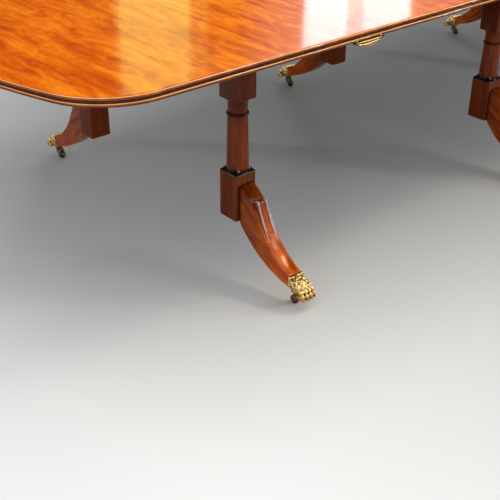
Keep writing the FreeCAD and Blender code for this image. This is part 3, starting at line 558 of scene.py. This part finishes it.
over_nose = hollow_arc(NOSE, NOSE_BACK, NOSE_ROUND, NOSE_POINTS)[::-1]
bead_line = over_nose[:-1] + hollow_arc(NOSE, DIES_AWAY, TABLET_HOLLOW, BEAD_POINTS)
bead_radii = [bead_radius(step, len(bead_line) - 1) for step in range(len(bead_line))]
bead_radii[0] = BEAD_RADIUS * BEAD_START
print("a bead runs through", len(bead_line), "points from", NOSE, "to", DIES_AWAY)

# %% Polish of the beads
BEAD_COLOURS = ((0.1, 0.014, 0.003), (0.2, 0.03, 0.005), (0.34, 0.06, 0.01))
PAINTED_GLINT = (0.6, 0.66, 0.72, 1)


def bead_glints(tree, place, colour):
    """Painted highlight: pale glints in dashes along the crest of a bead, where light would catch."""
    # Painted highlight on the bead's upward faces, broken into dashes.
    highlight_band = ramp(tree, facing_up(tree), (0.12, grey(0)), (0.36, grey(1)))
    dashes = add(tree, "TexNoise", {"Vector": place, "Scale": 420.0, "Detail": 3.0}).outputs["Fac"]
    broken = ramp(tree, dashes, (0.4, grey(0.12)), (0.62, grey(0.85)))
    return blend(tree, darken(tree, highlight_band, broken), colour, PAINTED_GLINT)


bead_polish = polished_wood("bead_polish", BEAD_COLOURS, Z_AXIS, 51.0, ribbon=POST_RIBBON, coat=1.0,
                            coat_rough=0.05, coat_ior=1.9, wave_depth=0.1, stain_and_painted_light=bead_glints)
print("bead polish ready")

# %% Lay two beads on every tablet
TABLET_WIDTH = 33 * MM
BEAD_ROUND = 4


def body_of(name):
    """The body that carries a column and its leg."""
    return "centre_frame" if name == "centre" else f"{name}_end"


def shade_smooth(mesh):
    """Smooth shading on every face."""
    for face in mesh.polygons:
        face.use_smooth = True


def tube(points, radii):
    """A round tube through points, with a radius at each."""
    curve = bpy.data.curves.new("bead", "CURVE")
    curve.dimensions = "3D"
    curve.bevel_depth = 1.0
    curve.bevel_resolution = BEAD_ROUND
    curve.use_fill_caps = True
    line = curve.splines.new("POLY")
    line.points.add(len(points) - 1)
    for point, place, radius in zip(line.points, points, radii):
        point.co = (*place, 1)
        point.radius = radius
    drawn = bpy.data.objects.new("bead", curve)
    scene.collection.objects.link(drawn)
    mesh = bpy.data.meshes.new_from_object(drawn.evaluated_get(bpy.context.evaluated_depsgraph_get()))
    bpy.data.objects.remove(drawn)
    shade_smooth(mesh)
    return mesh


for name in FRAMES:
    for side, way in OUTWARD.items():
        foot = column_axis(name, side)
        for edge, hand in (("left", -1), ("right", 1)):
            across = hand * (TABLET_WIDTH / 2 - BEAD_RADIUS)
            points = [foot + Vector((across, way * out, up)) for out, up in bead_line]
            bead = bpy.data.objects.new(f"{name}_{side}_{edge}_bead", tube(points, bead_radii))
            scene.collection.objects.link(bead)
            bead.data.materials.append(bead_polish)
            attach(bead, body_of(name))
print("beads lie on", len(FRAMES) * len(OUTWARD), "tablets")

# %% [markdown]
# ## Lion-paw shoes
#
# Each leg ends in a cast brass paw: a reeded collar that grips the wood, locks of hair over the instep, and
# four toes with claws. A sculptor would push clay about; in code, the same form grows from overlapping balls
# that a voxel remesh melts into one skin. The paw is drawn once, with the column's axis as its origin, and
# all six shoes share that mesh. Its sizes are in millimetres, outward ones from the end of the leg.

# %% Clay to work with
LEG_END = 230 * MM
STRAND_STEPS = 7


class Clay:
    """Overlapping lumps, kept as lists of points and faces."""

    def __init__(self):
        self.points = []
        self.faces = []

    def press(self, shape, matrix):
        """Add a copy of a lump, moved and stretched by a matrix."""
        first = len(self.points)
        points, faces = shape
        self.points += [matrix @ point for point in points]
        self.faces += [[first + corner for corner in face] for face in faces]


def lump(make, **settings):
    """Points and faces of a plain ball or block, one unit in size."""
    bm = bmesh.new()
    make(bm, **settings)
    shape = [v.co.copy() for v in bm.verts], [[v.index for v in face.verts] for face in bm.faces]
    bm.free()
    return shape


BALL = lump(bmesh.ops.create_icosphere, subdivisions=3, radius=1)
BLOCK = lump(bmesh.ops.create_cube, size=1)


def ball(clay, place, radii, tilt=0.0):
    """An ellipsoid; place is (sideways, outward, up), tilt is in degrees about the sideways axis."""
    x, out, up = place
    matrix = Matrix.Translation((x * MM, -LEG_END - out * MM, up * MM))
    turned = matrix @ Matrix.Rotation(math.radians(tilt), 4, "X")
    clay.press(BALL, turned @ Matrix.Diagonal((*(radius * MM for radius in radii), 1)))


def block(clay, low, high):
    """A box between two corners, given as (sideways, outward, up)."""
    x, out, up = [(a + b) / 2 * MM for a, b in zip(low, high)]
    sides = [(b - a) * MM for a, b in zip(low, high)]
    clay.press(BLOCK, Matrix.Translation((x, -LEG_END - out, up)) @ Matrix.Diagonal((*sides, 1)))


def smooth_step(p, q, r, s, t):
    """A value on the smooth curve from q to r that comes from p and goes on to s."""
    bend = 2 * p - 5 * q + 4 * r - s
    twist = 3 * q - p - 3 * r + s
    return 0.5 * (2 * q + (r - p) * t + bend * t ** 2 + twist * t ** 3)


def strand(clay, places):
    """A smooth rope of balls; each place is (sideways, outward, up, radius)."""
    ends = [places[0], *places, places[-1]]
    for four in zip(ends, ends[1:], ends[2:], ends[3:]):
        for step in range(STRAND_STEPS):
            *place, radius = [smooth_step(*values, step / STRAND_STEPS) for values in zip(*four)]
            ball(clay, place, (radius, radius, radius))


print("a ball of clay has", len(BALL[0]), "points")

# %% Collar and toes
COLLAR_MIDDLE = 5.0
REED = (1.5, 5.0, 1.5)
REED_PITCH = 3.6
TOE_PITCH = 12.3
INNER_REACH = 2.6
# Share of the pitch, outward, up, radii and tilt of a toe's knuckle, tip, pad and root
TOE_BALLS = (
    (0.97, 44.5, 57.0, (7.0, 8.4, 7.0), 35),
    (1.02, 50.6, 47.2, (7.0, 7.8, 6.6), 0),
    (1.02, 51.0, 39.8, (6.4, 7.6, 6.4), 0),
    (1.01, 43.0, 40.5, (6.5, 11.0, 7.0), 0),
)
# Outward, up and radius along a claw, and its share of the pitch
CLAW = ((56, 46, 2.8), (59, 41.5, 2.2), (59.6, 36.5, 1.0))
CLAW_SHARE = 1.02


def collar(clay):
    """Reeded collar with a plain lip at each side."""
    block(clay, (-23.2, 0.6, 55.6), (23.2, 9.4, 86.4))
    for out in (1.2, 8.8):
        block(clay, (-24.0, out - 0.8, 54.4), (24.0, out + 0.8, 87.6))
    for number in range(13):
        for up in (55.6, 86.5):
            ball(clay, (-21.6 + number * REED_PITCH, COLLAR_MIDDLE, up), REED)
    for number in range(8):
        for x in (-23.0, 23.0):
            ball(clay, (x, COLLAR_MIDDLE, 58.4 + number * REED_PITCH), REED)


def toes(clay):
    """Four short toes, each a knuckle over a rounded tip with a claw; the inner two stand further out."""
    for place in (-1.5, -0.5, 0.5, 1.5):
        x = place * TOE_PITCH
        reach = INNER_REACH if abs(place) < 1 else 0.0
        for share, out, up, radii, tilt in TOE_BALLS:
            ball(clay, (x * share, out + reach, up), radii, tilt)
        strand(clay, [(x * CLAW_SHARE, out + reach, up, radius) for out, up, radius in CLAW])


print("collar and toes ready, toes", TOE_PITCH, "mm apart")

# %% Instep and hair
PIN_REACH = 19.0
# Count of locks, where they start and how far round the instep they go, in degrees, for each row
HAIR_ROWS = ((10, 8, 112), (9, 17, 112), (9, 25, 112), (7, 32, 78))
LOCK_LENGTH = 16
LOCK_POINTS = 5
LOCK_RADIUS, LOCK_TAPER = 3.3, 2.5
LOCK_WAVES = 1.7
LOCK_SWAYS = (-0.14, 0.2)


def instep(out):
    """Half width, half height and middle height of the paw at a distance from the leg's end."""
    return 21.6 - 0.01 * out, 21.4 - 0.06 * out, 65.0 + 0.04 * out - 0.006 * out ** 2


def hair_lock(start, lean, sway):
    """Places along one pointed lock that waves as it runs out over the instep."""
    lock = []
    for step in range(LOCK_POINTS):
        t = step / (LOCK_POINTS - 1)
        around = lean + sway * math.sin(t * math.pi * LOCK_WAVES)
        out = start + LOCK_LENGTH * t
        wide, tall, middle = instep(out)
        radius = LOCK_RADIUS - LOCK_TAPER * t * t
        lock.append((wide * math.sin(around), out, middle + tall * math.cos(around), radius))
    return lock


def hair(clay):
    """Locks in four rows, lying round the instep."""
    for row, (count, start, reach) in enumerate(HAIR_ROWS):
        for number in range(count):
            lean = math.radians(reach * (2 * number / (count - 1) - 1))
            strand(clay, hair_lock(start, lean, LOCK_SWAYS[(number + row) % 2]))


def paw_core(clay):
    """The plain form under the detail, rounded at its heel, with a boss round the caster's pin."""
    for out in (10, 17, 24, 31, 38):
        wide, tall, middle = instep(out)
        ball(clay, (0, out, middle), (wide - 0.6, 13, tall - 0.6))
    for up in (35.6, 40, 45):
        ball(clay, (0, PIN_REACH, up), (11.5, 11.5, 1.6))
    ball(clay, (0, PIN_REACH, 42), (11.5, 11.5, 7.6))
    ball(clay, (0, 38, 48), (19, 13, 14))
    for x in (-9.5, 0, 9.5):
        ball(clay, (x, 13, 51.5), (11.3, 12.4, 15.5))


print(sum(count for count, start, reach in HAIR_ROWS), "locks of hair on a paw")

# %% Melt the paw into one skin
PAW_SKIN = 0.75 * MM


def lion_paw():
    """One paw as a single skin."""
    clay = Clay()
    for stage in (paw_core, collar, hair, toes):
        stage(clay)
    rough = bpy.data.meshes.new("paw_rough")
    rough.from_pydata(clay.points, [], clay.faces)
    cast = bpy.data.objects.new("paw_cast", rough)
    scene.collection.objects.link(cast)
    skin = cast.modifiers.new("one skin", "REMESH")
    skin.mode = "VOXEL"
    skin.voxel_size = PAW_SKIN
    skin.use_smooth_shade = True
    soften = cast.modifiers.new("soften", "SMOOTH")
    soften.factor = 0.5
    soften.iterations = 2
    mesh = bpy.data.meshes.new_from_object(cast.evaluated_get(bpy.context.evaluated_depsgraph_get()))
    bpy.data.objects.remove(cast)
    mesh.name = "lion_paw"
    return mesh


paw_mesh = lion_paw()
chased_brass = old_brass("chased_brass", BRASS_BRIGHT, (0.1, 0.045, 0.012), 8 * MM, 20,
                         shaded_below=(40 * MM, 60 * MM))
paw_mesh.materials.clear()
paw_mesh.materials.append(chased_brass)
print("one paw has", len(paw_mesh.polygons), "faces")

# %% Put a paw on every leg
for name in FRAMES:
    for side, way in OUTWARD.items():
        shoe = bpy.data.objects.new(f"{name}_{side}_lion_paw", paw_mesh)
        scene.collection.objects.link(shoe)
        half_turn = 0 if way < 0 else math.pi
        shoe.matrix_world = Matrix.Translation(column_axis(name, side)) @ Matrix.Rotation(half_turn, 4, "Z")
        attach(shoe, body_of(name))
        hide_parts(f"{name}_{side}_paw")
print("six paws stand on the legs")

# %% [markdown]
# ## Turned columns
#
# A column is one post: the turner leaves its ends square and cuts a tapered shaft, a ring and a hollow
# between them, and the bench hand rounds the corners of the blocks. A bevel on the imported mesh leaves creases
# where the hollow shoulder meets the shaft, so each post is lofted anew: rings of points, square with rounded
# corners for the blocks and round for the shaft, stacked up a profile of half widths and heights.

# %% Rings of points and the skin round them
CORNER_POINTS = 6
TURNS = 48
CREASE_FROM = math.radians(42)


def rounded_square(half, corner):
    """Points round a square with rounded corners, about the axis."""
    points = []
    for quarter in range(4):
        middle = Matrix.Rotation(quarter * math.pi / 2, 2) @ Vector((half - corner, half - corner))
        for step in range(CORNER_POINTS):
            angle = math.pi / 2 * (quarter + step / (CORNER_POINTS - 1))
            points.append(middle + corner * Vector((math.cos(angle), math.sin(angle))))
    return points


def square_rings(profile, corner, proud=0.0):
    """Rings of a block from (half width, height) pairs."""
    return [[(point.x, point.y, up + proud) for point in rounded_square(half + proud, corner + proud)]
            for half, up in profile]


def round_rings(profile):
    """Rings of a turning from (radius, height) pairs."""
    turns = [math.tau * turn / TURNS for turn in range(TURNS)]
    return [[(radius * math.cos(turn), radius * math.sin(turn), up) for turn in turns]
            for radius, up in profile]


def wrap(rings, capped=True):
    """Points and faces of a skin round a stack of rings, which all have the same number of points."""
    count = len(rings[0])
    points = [point for ring in rings for point in ring]
    faces = []
    for low in range(0, len(points) - count, count):
        pairs = [(low + k, low + (k + 1) % count) for k in range(count)]
        faces += [(a, b, b + count, a + count) for a, b in pairs]
    if capped:
        faces.append(tuple(reversed(range(count))))
        faces.append(tuple(range(len(points) - count, len(points))))
    return points, faces


def gather(skins):
    """Several skins as one list of points and one of faces."""
    points, faces = [], []
    for some_points, some_faces in skins:
        first = len(points)
        points += some_points
        faces += [[first + corner for corner in face] for face in some_faces]
    return points, faces


def loft(name, stacks, capped):
    """One mesh from stacks of rings."""
    points, faces = gather([wrap(rings, capped) for rings in stacks])
    mesh = bpy.data.meshes.new(name)
    mesh.from_pydata(points, [], faces)
    shade_smooth(mesh)
    mesh.set_sharp_from_angle(angle=CREASE_FROM)
    return mesh


print("a ring has", 4 * CORNER_POINTS, "points round a block and", TURNS, "round a shaft")

# %% Profiles of a post
HALF_BLOCK = 34.5 * MM
BLOCK_LOW = 168 * MM
BLOCK_TOP = 302 * MM
SHOULDER_RISE, SHOULDER_INSET, SHOULDER_HOLLOW = 16 * MM, 13 * MM, 34 * MM
SHOULDER_POINTS = 14
FACE_DROPS = (3.2, 2.0, 1.1)
ARRIS = ((0.15, -0.4), (0.5, 0.1))
SHAFT_LOW, SHAFT_HIGH, NECK = 30.4 * MM, 26.8 * MM, 26.0 * MM
RING_BODY, RING_ROUND, RING_DROP = 25.7 * MM, 4.5 * MM, 41 * MM
COVE_WIDE, COVE_RISE, COVE_HOLLOW = 33 * MM, 18 * MM, 26 * MM
COVE_POINTS = 8


def under_edge(low, radius):
    """Profile of a block's rounded lower edge."""
    angles = [math.pi / 2 * step / 4 for step in range(5)]
    return [(HALF_BLOCK - radius * (1 - math.sin(angle)), low + radius * (1 - math.cos(angle)))
            for angle in angles]


def shoulder_profile():
    """Points of (half width, height): the block's face, a rounded arris, then the hollow up to the shaft."""
    face = [(HALF_BLOCK, BLOCK_TOP - drop * MM) for drop in FACE_DROPS]
    arris = [(HALF_BLOCK - inset * MM, BLOCK_TOP + rise * MM) for inset, rise in ARRIS]
    high = (HALF_BLOCK - SHOULDER_INSET, BLOCK_TOP + SHOULDER_RISE)
    hollow = hollow_arc(high, (HALF_BLOCK, BLOCK_TOP), SHOULDER_HOLLOW, SHOULDER_POINTS)
    return face + arris + [tuple(point) for point in reversed(hollow[:-1])]


def shaft_profile(ring):
    """Points of (radius, height): the tapered shaft, its ring, the neck and the hollow under the block."""
    block_low = ring + RING_DROP
    angles = [math.pi * (step / 10 - 0.5) for step in range(11)]
    taper = [(SHAFT_LOW, BLOCK_TOP), (SHAFT_HIGH, ring - RING_ROUND)]
    bulge = [(RING_BODY + RING_ROUND * math.cos(angle), ring + RING_ROUND * math.sin(angle))
             for angle in angles]
    neck = [(NECK, ring + RING_ROUND)]
    cove = hollow_arc((COVE_WIDE, block_low), (NECK, block_low - COVE_RISE), COVE_HOLLOW, COVE_POINTS)
    tenon = [(COVE_WIDE, block_low + 1 * MM)]
    return taper + bulge + neck + [tuple(point) for point in reversed(cove)] + tenon


print("the shoulder rises", SHOULDER_RISE, "m above the block's top at", BLOCK_TOP, "m")

# %% Turn the columns
BLOCK_ROUND = 4.5 * MM
UNDER_ROUND = 3 * MM


def turned_column(name, top):
    """One post, about its axis."""
    block_low = RINGS[name] + RING_DROP
    lower = square_rings(under_edge(BLOCK_LOW, UNDER_ROUND) + shoulder_profile(), BLOCK_ROUND)
    upper = square_rings(under_edge(block_low, UNDER_ROUND) + [(HALF_BLOCK, top)], BLOCK_ROUND)
    return loft(f"{name}_post", [lower, round_rings(shaft_profile(RINGS[name])), upper], capped=True)


for name in FRAMES:
    for side in OUTWARD:
        node = f"{name}_{side}_column"
        post = bpy.data.objects.new(f"{name}_{side}_turned_column", turned_column(name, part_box(node)[1].z))
        scene.collection.objects.link(post)
        post.location = column_axis(name, side)
        post.data.materials.append(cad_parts[node].data.materials[0])
        flat_sides = post.modifiers.new("flat sides", "WEIGHTED_NORMAL")
        flat_sides.keep_sharp = True
        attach(post, body_of(name))
        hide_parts(node)
print("six posts turned, rings at", RINGS)

# %% [markdown]
# ## Blackened shoulders, a painted shade
#
# Each lower block ends in a hollow shoulder of dark wood polished like glass, so its arris shows as a thin
# white line. Its blackness is a painted shade: a separate near-black skin, a third of a millimetre proud of the
# post, carries it under the polish, because a painted shade by height alone could not follow the hollow round
# the foot of the shaft.

# %% Polish the shoulders
SKIN = 0.3 * MM
FOOT_TOP = (30.6 * MM, 312 * MM)
FOOT_LOW = (33.4 * MM, 303 * MM)
FOOT_HOLLOW = 20 * MM
FOOT_POINTS = 10
FIBRES = (300.0, 20.0)


def shade_black_polish(name, coat):
    """Near-black painted shade under a bright polish."""
    material, tree, shader = start_material(name)
    place = add(tree, "TexCoord").outputs["Object"]
    fibres = grain_noise(tree, place, Z_AXIS, FIBRES, 3.0)
    colour = ramp(tree, fibres, (0.35, (0.006, 0.003, 0.002)), (0.65, (0.022, 0.009, 0.006)))
    tree.links.new(colour, shader.inputs["Base Color"])
    rough = ramp(tree, fibres, (0.3, grey(0.3)), (0.7, grey(0.4)))
    tree.links.new(rough, shader.inputs["Roughness"])
    set_polish(shader, coat, rough=0.06, ior=1.6)
    return material


# Painted shade: near-black skins over the hollow shoulder and the foot of the shaft.
shoulder_rings = square_rings(shoulder_profile(), BLOCK_ROUND, proud=SKIN)
foot_rings = round_rings(reversed(hollow_arc(FOOT_TOP, FOOT_LOW, FOOT_HOLLOW, FOOT_POINTS)))
shoulder_mesh = loft("shoulder_skin", [shoulder_rings], capped=False)
foot_mesh = loft("shaft_foot", [foot_rings], capped=False)
shoulder_mesh.materials.append(shade_black_polish("shade_black_shoulder", 0.8))
foot_mesh.materials.append(shade_black_polish("shade_black_foot", 0.2))
for name in FRAMES:
    for side in OUTWARD:
        for part, mesh in (("shoulder", shoulder_mesh), ("shaft_foot", foot_mesh)):
            piece = bpy.data.objects.new(f"{name}_{side}_{part}", mesh)
            scene.collection.objects.link(piece)
            piece.location = column_axis(name, side)
            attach(piece, body_of(name))
print("shoulders polished from", BLOCK_TOP, "m up")

# %% [markdown]
# ## Fork clips
#
# A brass clip holds each end top to its leaf: a half-moon bow below the edge, with two arms that run in under
# the boards. The founder gave the bow two ribs and a hollow between them. The bow is drawn as rings of points
# whose depth follows that section, so the ribs run out together at the tips. Its sizes are in millimetres.

# %% Bow and arms of a clip
# Share of the bow's drop, and how far the section lies behind its front there
CLIP_SECTION = ((0.0, 2.4), (0.06, 0.7), (0.16, 0.0), (0.27, 0.3), (0.34, 1.7), (0.44, 2.1), (0.53, 0.9),
                (0.62, 0.1), (0.72, 0.2), (0.79, 1.3), (0.85, 1.5), (0.91, 0.6), (0.96, 0.7), (1.0, 2.8))
CLIP_STEPS = 40
CLIP_TIP = 1.6
CLIP_BACK = 9.0
CLIP_ARM_TOP = 5.6
CLIP_GAP = 0.4
ARM_HALF = 4.0
ARM_FRONT = ((0.0, 2.0), (0.6, 0.8), (2.0, 0.1))
ARM_FRONT_END = 3.0
ARM_TRIM = 0.8
ARM_ROOT = 2.5


def clip_bow(half, depth):
    """Points and faces of the bow: (along, inward from the front, down from its flat top)."""
    rings = []
    for step in range(CLIP_STEPS + 1):
        along = half * math.sin(math.pi * (step / CLIP_STEPS - 0.5))
        drop = CLIP_TIP + (depth - CLIP_TIP) * (1 - (along / half) ** 2)
        front = [(along, recess, drop * share) for share, recess in CLIP_SECTION]
        rings.append(front + [(along, CLIP_BACK, drop), (along, CLIP_BACK, 0)])
    return wrap(rings)


def clip_arm(middle, length):
    """Points and faces of one arm, with a rounded front end and eased upper edges."""
    left = [(-ARM_HALF + inset, inward) for inset, inward in ARM_FRONT]
    right = [(-across, inward) for across, inward in reversed(left)]
    outline = left + right + [(ARM_HALF, length), (-ARM_HALF, length)]
    top = -CLIP_ARM_TOP - CLIP_GAP
    rings = []
    for down, trim in ((CLIP_GAP - ARM_ROOT, 0.0), (top + ARM_TRIM, 0.0), (top, ARM_TRIM)):
        narrow = 1 - trim / ARM_HALF
        rings.append([(middle + across * narrow, inward + trim * (inward < ARM_FRONT_END), down)
                      for across, inward in outline])
    return wrap(rings)


print("the clip's section has", len(CLIP_SECTION), "points")

# %% Cast the clips
ARM_SPREAD = 40.0
CLIP_CREASE_FROM = math.radians(50)
clip_brass = old_brass("clip_brass", (0.38, 0.25, 0.1), (0.09, 0.045, 0.015), 4 * MM, 31)


def cast_clip(node, way):
    """A clip in the place of a packed one."""
    low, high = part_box(node)
    middle = (low.x + high.x) / 2
    front = low.y if way < 0 else high.y
    flat_top = high.z - (CLIP_ARM_TOP + CLIP_GAP) * MM
    half, depth = (high.x - low.x) / 2 / MM, (flat_top - low.z) / MM
    length = (high.y - low.y) / MM
    arms = [clip_arm(across, length) for across in (-ARM_SPREAD, ARM_SPREAD)]
    points, faces = gather([clip_bow(half, depth), *arms])
    places = [Vector((middle + x * MM, front - way * inward * MM, flat_top - down * MM))
              for x, inward, down in points]
    mesh = bpy.data.meshes.new(f"{node}_cast")
    mesh.from_pydata(places, [], faces)
    bm = bmesh.new()
    bm.from_mesh(mesh)
    bmesh.ops.recalc_face_normals(bm, faces=bm.faces)
    bm.to_mesh(mesh)
    bm.free()
    for face in mesh.polygons:
        face.use_smooth = len(face.vertices) == 4
    mesh.set_sharp_from_angle(angle=CLIP_CREASE_FROM)
    mesh.materials.append(clip_brass)
    return mesh


for name in ENDS:
    for side, way in OUTWARD.items():
        node = f"{name}_{side}_clip"
        cast = bpy.data.objects.new(f"{node}_cast", cast_clip(node, way))
        scene.collection.objects.link(cast)
        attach(cast, node)
        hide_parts(node)
print("four clips cast")

# %% [markdown]
# ## Floor and light
#
# The photograph has a pale studio floor that falls away to grey behind the table. A colour ramp laid across
# the floor paints that fall of light, and it stays put when the camera moves; it also leans sideways, which
# paints the floor paler on the left, in the table's shadow, and greyer on the right, under the lamps. A
# polished top mirrors what stands across from it, so upright panels stand where the picture has pale and warm
# bands in the polish; soft boxes do the rest of the lighting.

# %% Make the floor
FLOOR_HALF = 150.0
VIEW_WAY = Vector((-math.sin(CAMERA_PAN), math.cos(CAMERA_PAN), 0))
RIGHT_WAY = Vector((math.cos(CAMERA_PAN), math.sin(CAMERA_PAN), 0))
# Painted light: the ramp leans to the right, so the floor is painted paler on the left, in the table's shadow,
# and greyer on the right, under the lamps.
PAINTED_FALLOFF_WAY = VIEW_WAY + 0.85 * RIGHT_WAY
PALE_LINE, GREY_LINE = -2.36, 0.14


def cool(level):
    """A grey with a trace of blue, against the warmth of the lamps."""
    return (level * 0.98, level * 0.99, level * 1.015)


def floor_with_painted_falloff():
    """Pale floor with a painted fall of light: grey along the view, and paler to the left against the lamps on
    the right.
    """
    material, tree, shader = start_material("studio_floor")
    place = add(tree, "TexCoord").outputs["Object"]
    along = add(tree, "VectorMath", {0: place, 1: PAINTED_FALLOFF_WAY}, operation="DOT_PRODUCT").outputs["Value"]
    share = share_between(tree, along, PALE_LINE, GREY_LINE)
    speckle = add(tree, "TexNoise", {"Vector": place, "Scale": 3.0, "Detail": 2.0}).outputs["Fac"]
    shade = weighted(tree, (share, 1.0), (speckle, 0.01))
    colour = ramp(tree, shade, (0.0, cool(0.84)), (0.45, cool(0.62)), (1.0, cool(0.38)))
    tree.links.new(colour, shader.inputs["Base Color"])
    shader.inputs["Roughness"].default_value = 0.9
    shader.inputs["Specular IOR Level"].default_value = 0.0
    return material


floor_mesh = bpy.data.meshes.new("floor")
corners = [(x * FLOOR_HALF, y * FLOOR_HALF, 0) for x, y in ((-1, -1), (1, -1), (1, 1), (-1, 1))]
floor_mesh.from_pydata(corners, [], [(0, 1, 2, 3)])
floor_mesh.materials.append(floor_with_painted_falloff())
floor = bpy.data.objects.new("floor", floor_mesh)
scene.collection.objects.link(floor)
print("floor laid,", 2 * FLOOR_HALF, "m wide")

# %% Stand the panels and hang the soft boxes
WHITE = (1, 1, 1)
TABLE_AIM = (-0.9, 0, 0.5)
LEG_AIM = (-1.1, -0.4, 0.3)
PANEL_DISTANCE = 8.0
# Name, bearing and width in degrees, brightness, colour, low and high edge in metres
PANELS = (
    ("pale_panel_left", 44.3, 2.6, 6.2, (0.79, 0.92, 1.0), 1.5, 3.7),
    ("pale_panel_bar", 42.5, 1.2, 3.4, (0.8, 0.88, 1.0), 1.5, 3.7),
    ("pale_panel_right", 40.5, 2.8, 5.8, (0.79, 0.91, 1.0), 1.5, 3.7),
    ("olive_panel", 55.0, 4.4, 2.0, (0.8, 0.85, 0.22), 1.5, 3.7),
    ("olive_panel_edge", 54.6, 5.8, 0.7, (0.8, 0.8, 0.22), 1.5, 3.7),
    ("amber_panel_high", 49.6, 7.6, 0.6, (1.0, 0.85, 0.22), 2.75, 4.0),
    ("amber_panel_side", 69.5, 5.0, 0.7, (1.0, 0.8, 0.2), 2.6, 4.0),
)
# Name, place, aim, width, height, brightness, colour
SOFT_BOXES = (
    ("overhead", (-1.8, -1.1, 3.9), (-1.8, -0.9, 0), 5.8, 4.2, 1.5, WHITE),
    ("right_front", (1.55, -3.7, 2.2), TABLE_AIM, 2.0, 1.5, 3.2, WHITE),
    ("right_strip", (2.2, -2.7, 1.4), LEG_AIM, 0.14, 1.2, 60.0, (0.94, 0.98, 1.0)),
    ("right_high", (1.7, -3.1, 3.2), (-1.1, -0.5, 0.2), 1.0, 0.9, 5.5, (0.92, 0.97, 1.0)),
    ("warm_lamp", (1.45, -1.7, 3.6), (-1.1, -0.6, 0.1), 0.7, 0.7, 22.0, (1.0, 0.9, 0.42)),
    ("left_front", (-4.6, -1.8, 1.6), TABLE_AIM, 2.4, 2.0, 1.4, WHITE),
    ("left_back", (-5.4, 3.4, 1.6), LEG_AIM, 0.6, 1.8, 5.0, (0.88, 0.96, 1.0)),
)


def soft_box(name, place, aim, width, height, radiance, colour):
    """Rectangular light with a given brightness of its surface."""
    lamp = bpy.data.lights.new(name, "AREA")
    lamp.shape = "RECTANGLE"
    lamp.size = width
    lamp.size_y = height
    lamp.energy = radiance * math.pi * width * height
    lamp.color = colour
    made = bpy.data.objects.new(name, lamp)
    made.location = place
    made.rotation_euler = (Vector(aim) - Vector(place)).to_track_quat("-Z", "Y").to_euler()
    made.visible_camera = False
    scene.collection.objects.link(made)


def panel(name, bearing, width, radiance, colour, low, high):
    """Upright panel, by its bearing from the camera in degrees, counted from +X toward +Y."""
    angle = math.radians(bearing)
    way = Vector((math.cos(angle), math.sin(angle), 0))
    middle = Vector((0, 0, (low + high) / 2))
    place = CAMERA_PLACE.xy.to_3d() + way * PANEL_DISTANCE + middle
    aim = (CAMERA_PLACE.x, CAMERA_PLACE.y, place.z)
    soft_box(name, place, aim, PANEL_DISTANCE * math.radians(width), high - low, radiance, colour)


for settings in PANELS:
    panel(*settings)
for settings in SOFT_BOXES:
    soft_box(*settings)

# %% Fill the studio with a low light
DIM_BEARINGS = [math.radians(side) for side in (10, 85)]
PALE = 0.8
FILL = 0.38


def studio_light():
    """Pale all round, but for one dim side whose middle glows beside the panels."""
    world = bpy.data.worlds.new("studio")
    world.use_nodes = True
    tree = world.node_tree
    way = add(tree, "TexCoord").outputs["Generated"]
    bearing = calculate(tree, "ARCTAN2", coordinate(tree, way, Y_AXIS), coordinate(tree, way, X_AXIS))
    share = share_between(tree, bearing, *DIM_BEARINGS)
    dim_side = ramp(tree, share, (0.02, grey(PALE)), (0.1, grey(0.2)), (0.36, grey(0.8)), (0.49, grey(0.8)),
                    (0.53, grey(0.08)), (0.92, grey(0.02)), (0.98, grey(PALE)))
    above = ramp(tree, coordinate(tree, way, Z_AXIS), (0.08, grey(0)), (0.2, grey(1)))
    backdrop = blend(tree, above, (*grey(PALE), 1), dim_side)
    path = add(tree, "LightPath").outputs
    seen = calculate(tree, "MAXIMUM", path["Is Camera Ray"], path["Is Glossy Ray"])
    seen = calculate(tree, "MAXIMUM", seen, path["Is Transmission Ray"])
    colour = blend(tree, seen, (*grey(FILL), 1), backdrop)
    tree.links.new(colour, tree.nodes["Background"].inputs["Color"])
    return world


scene.world = studio_light()
print("studio filled with light of", FILL)
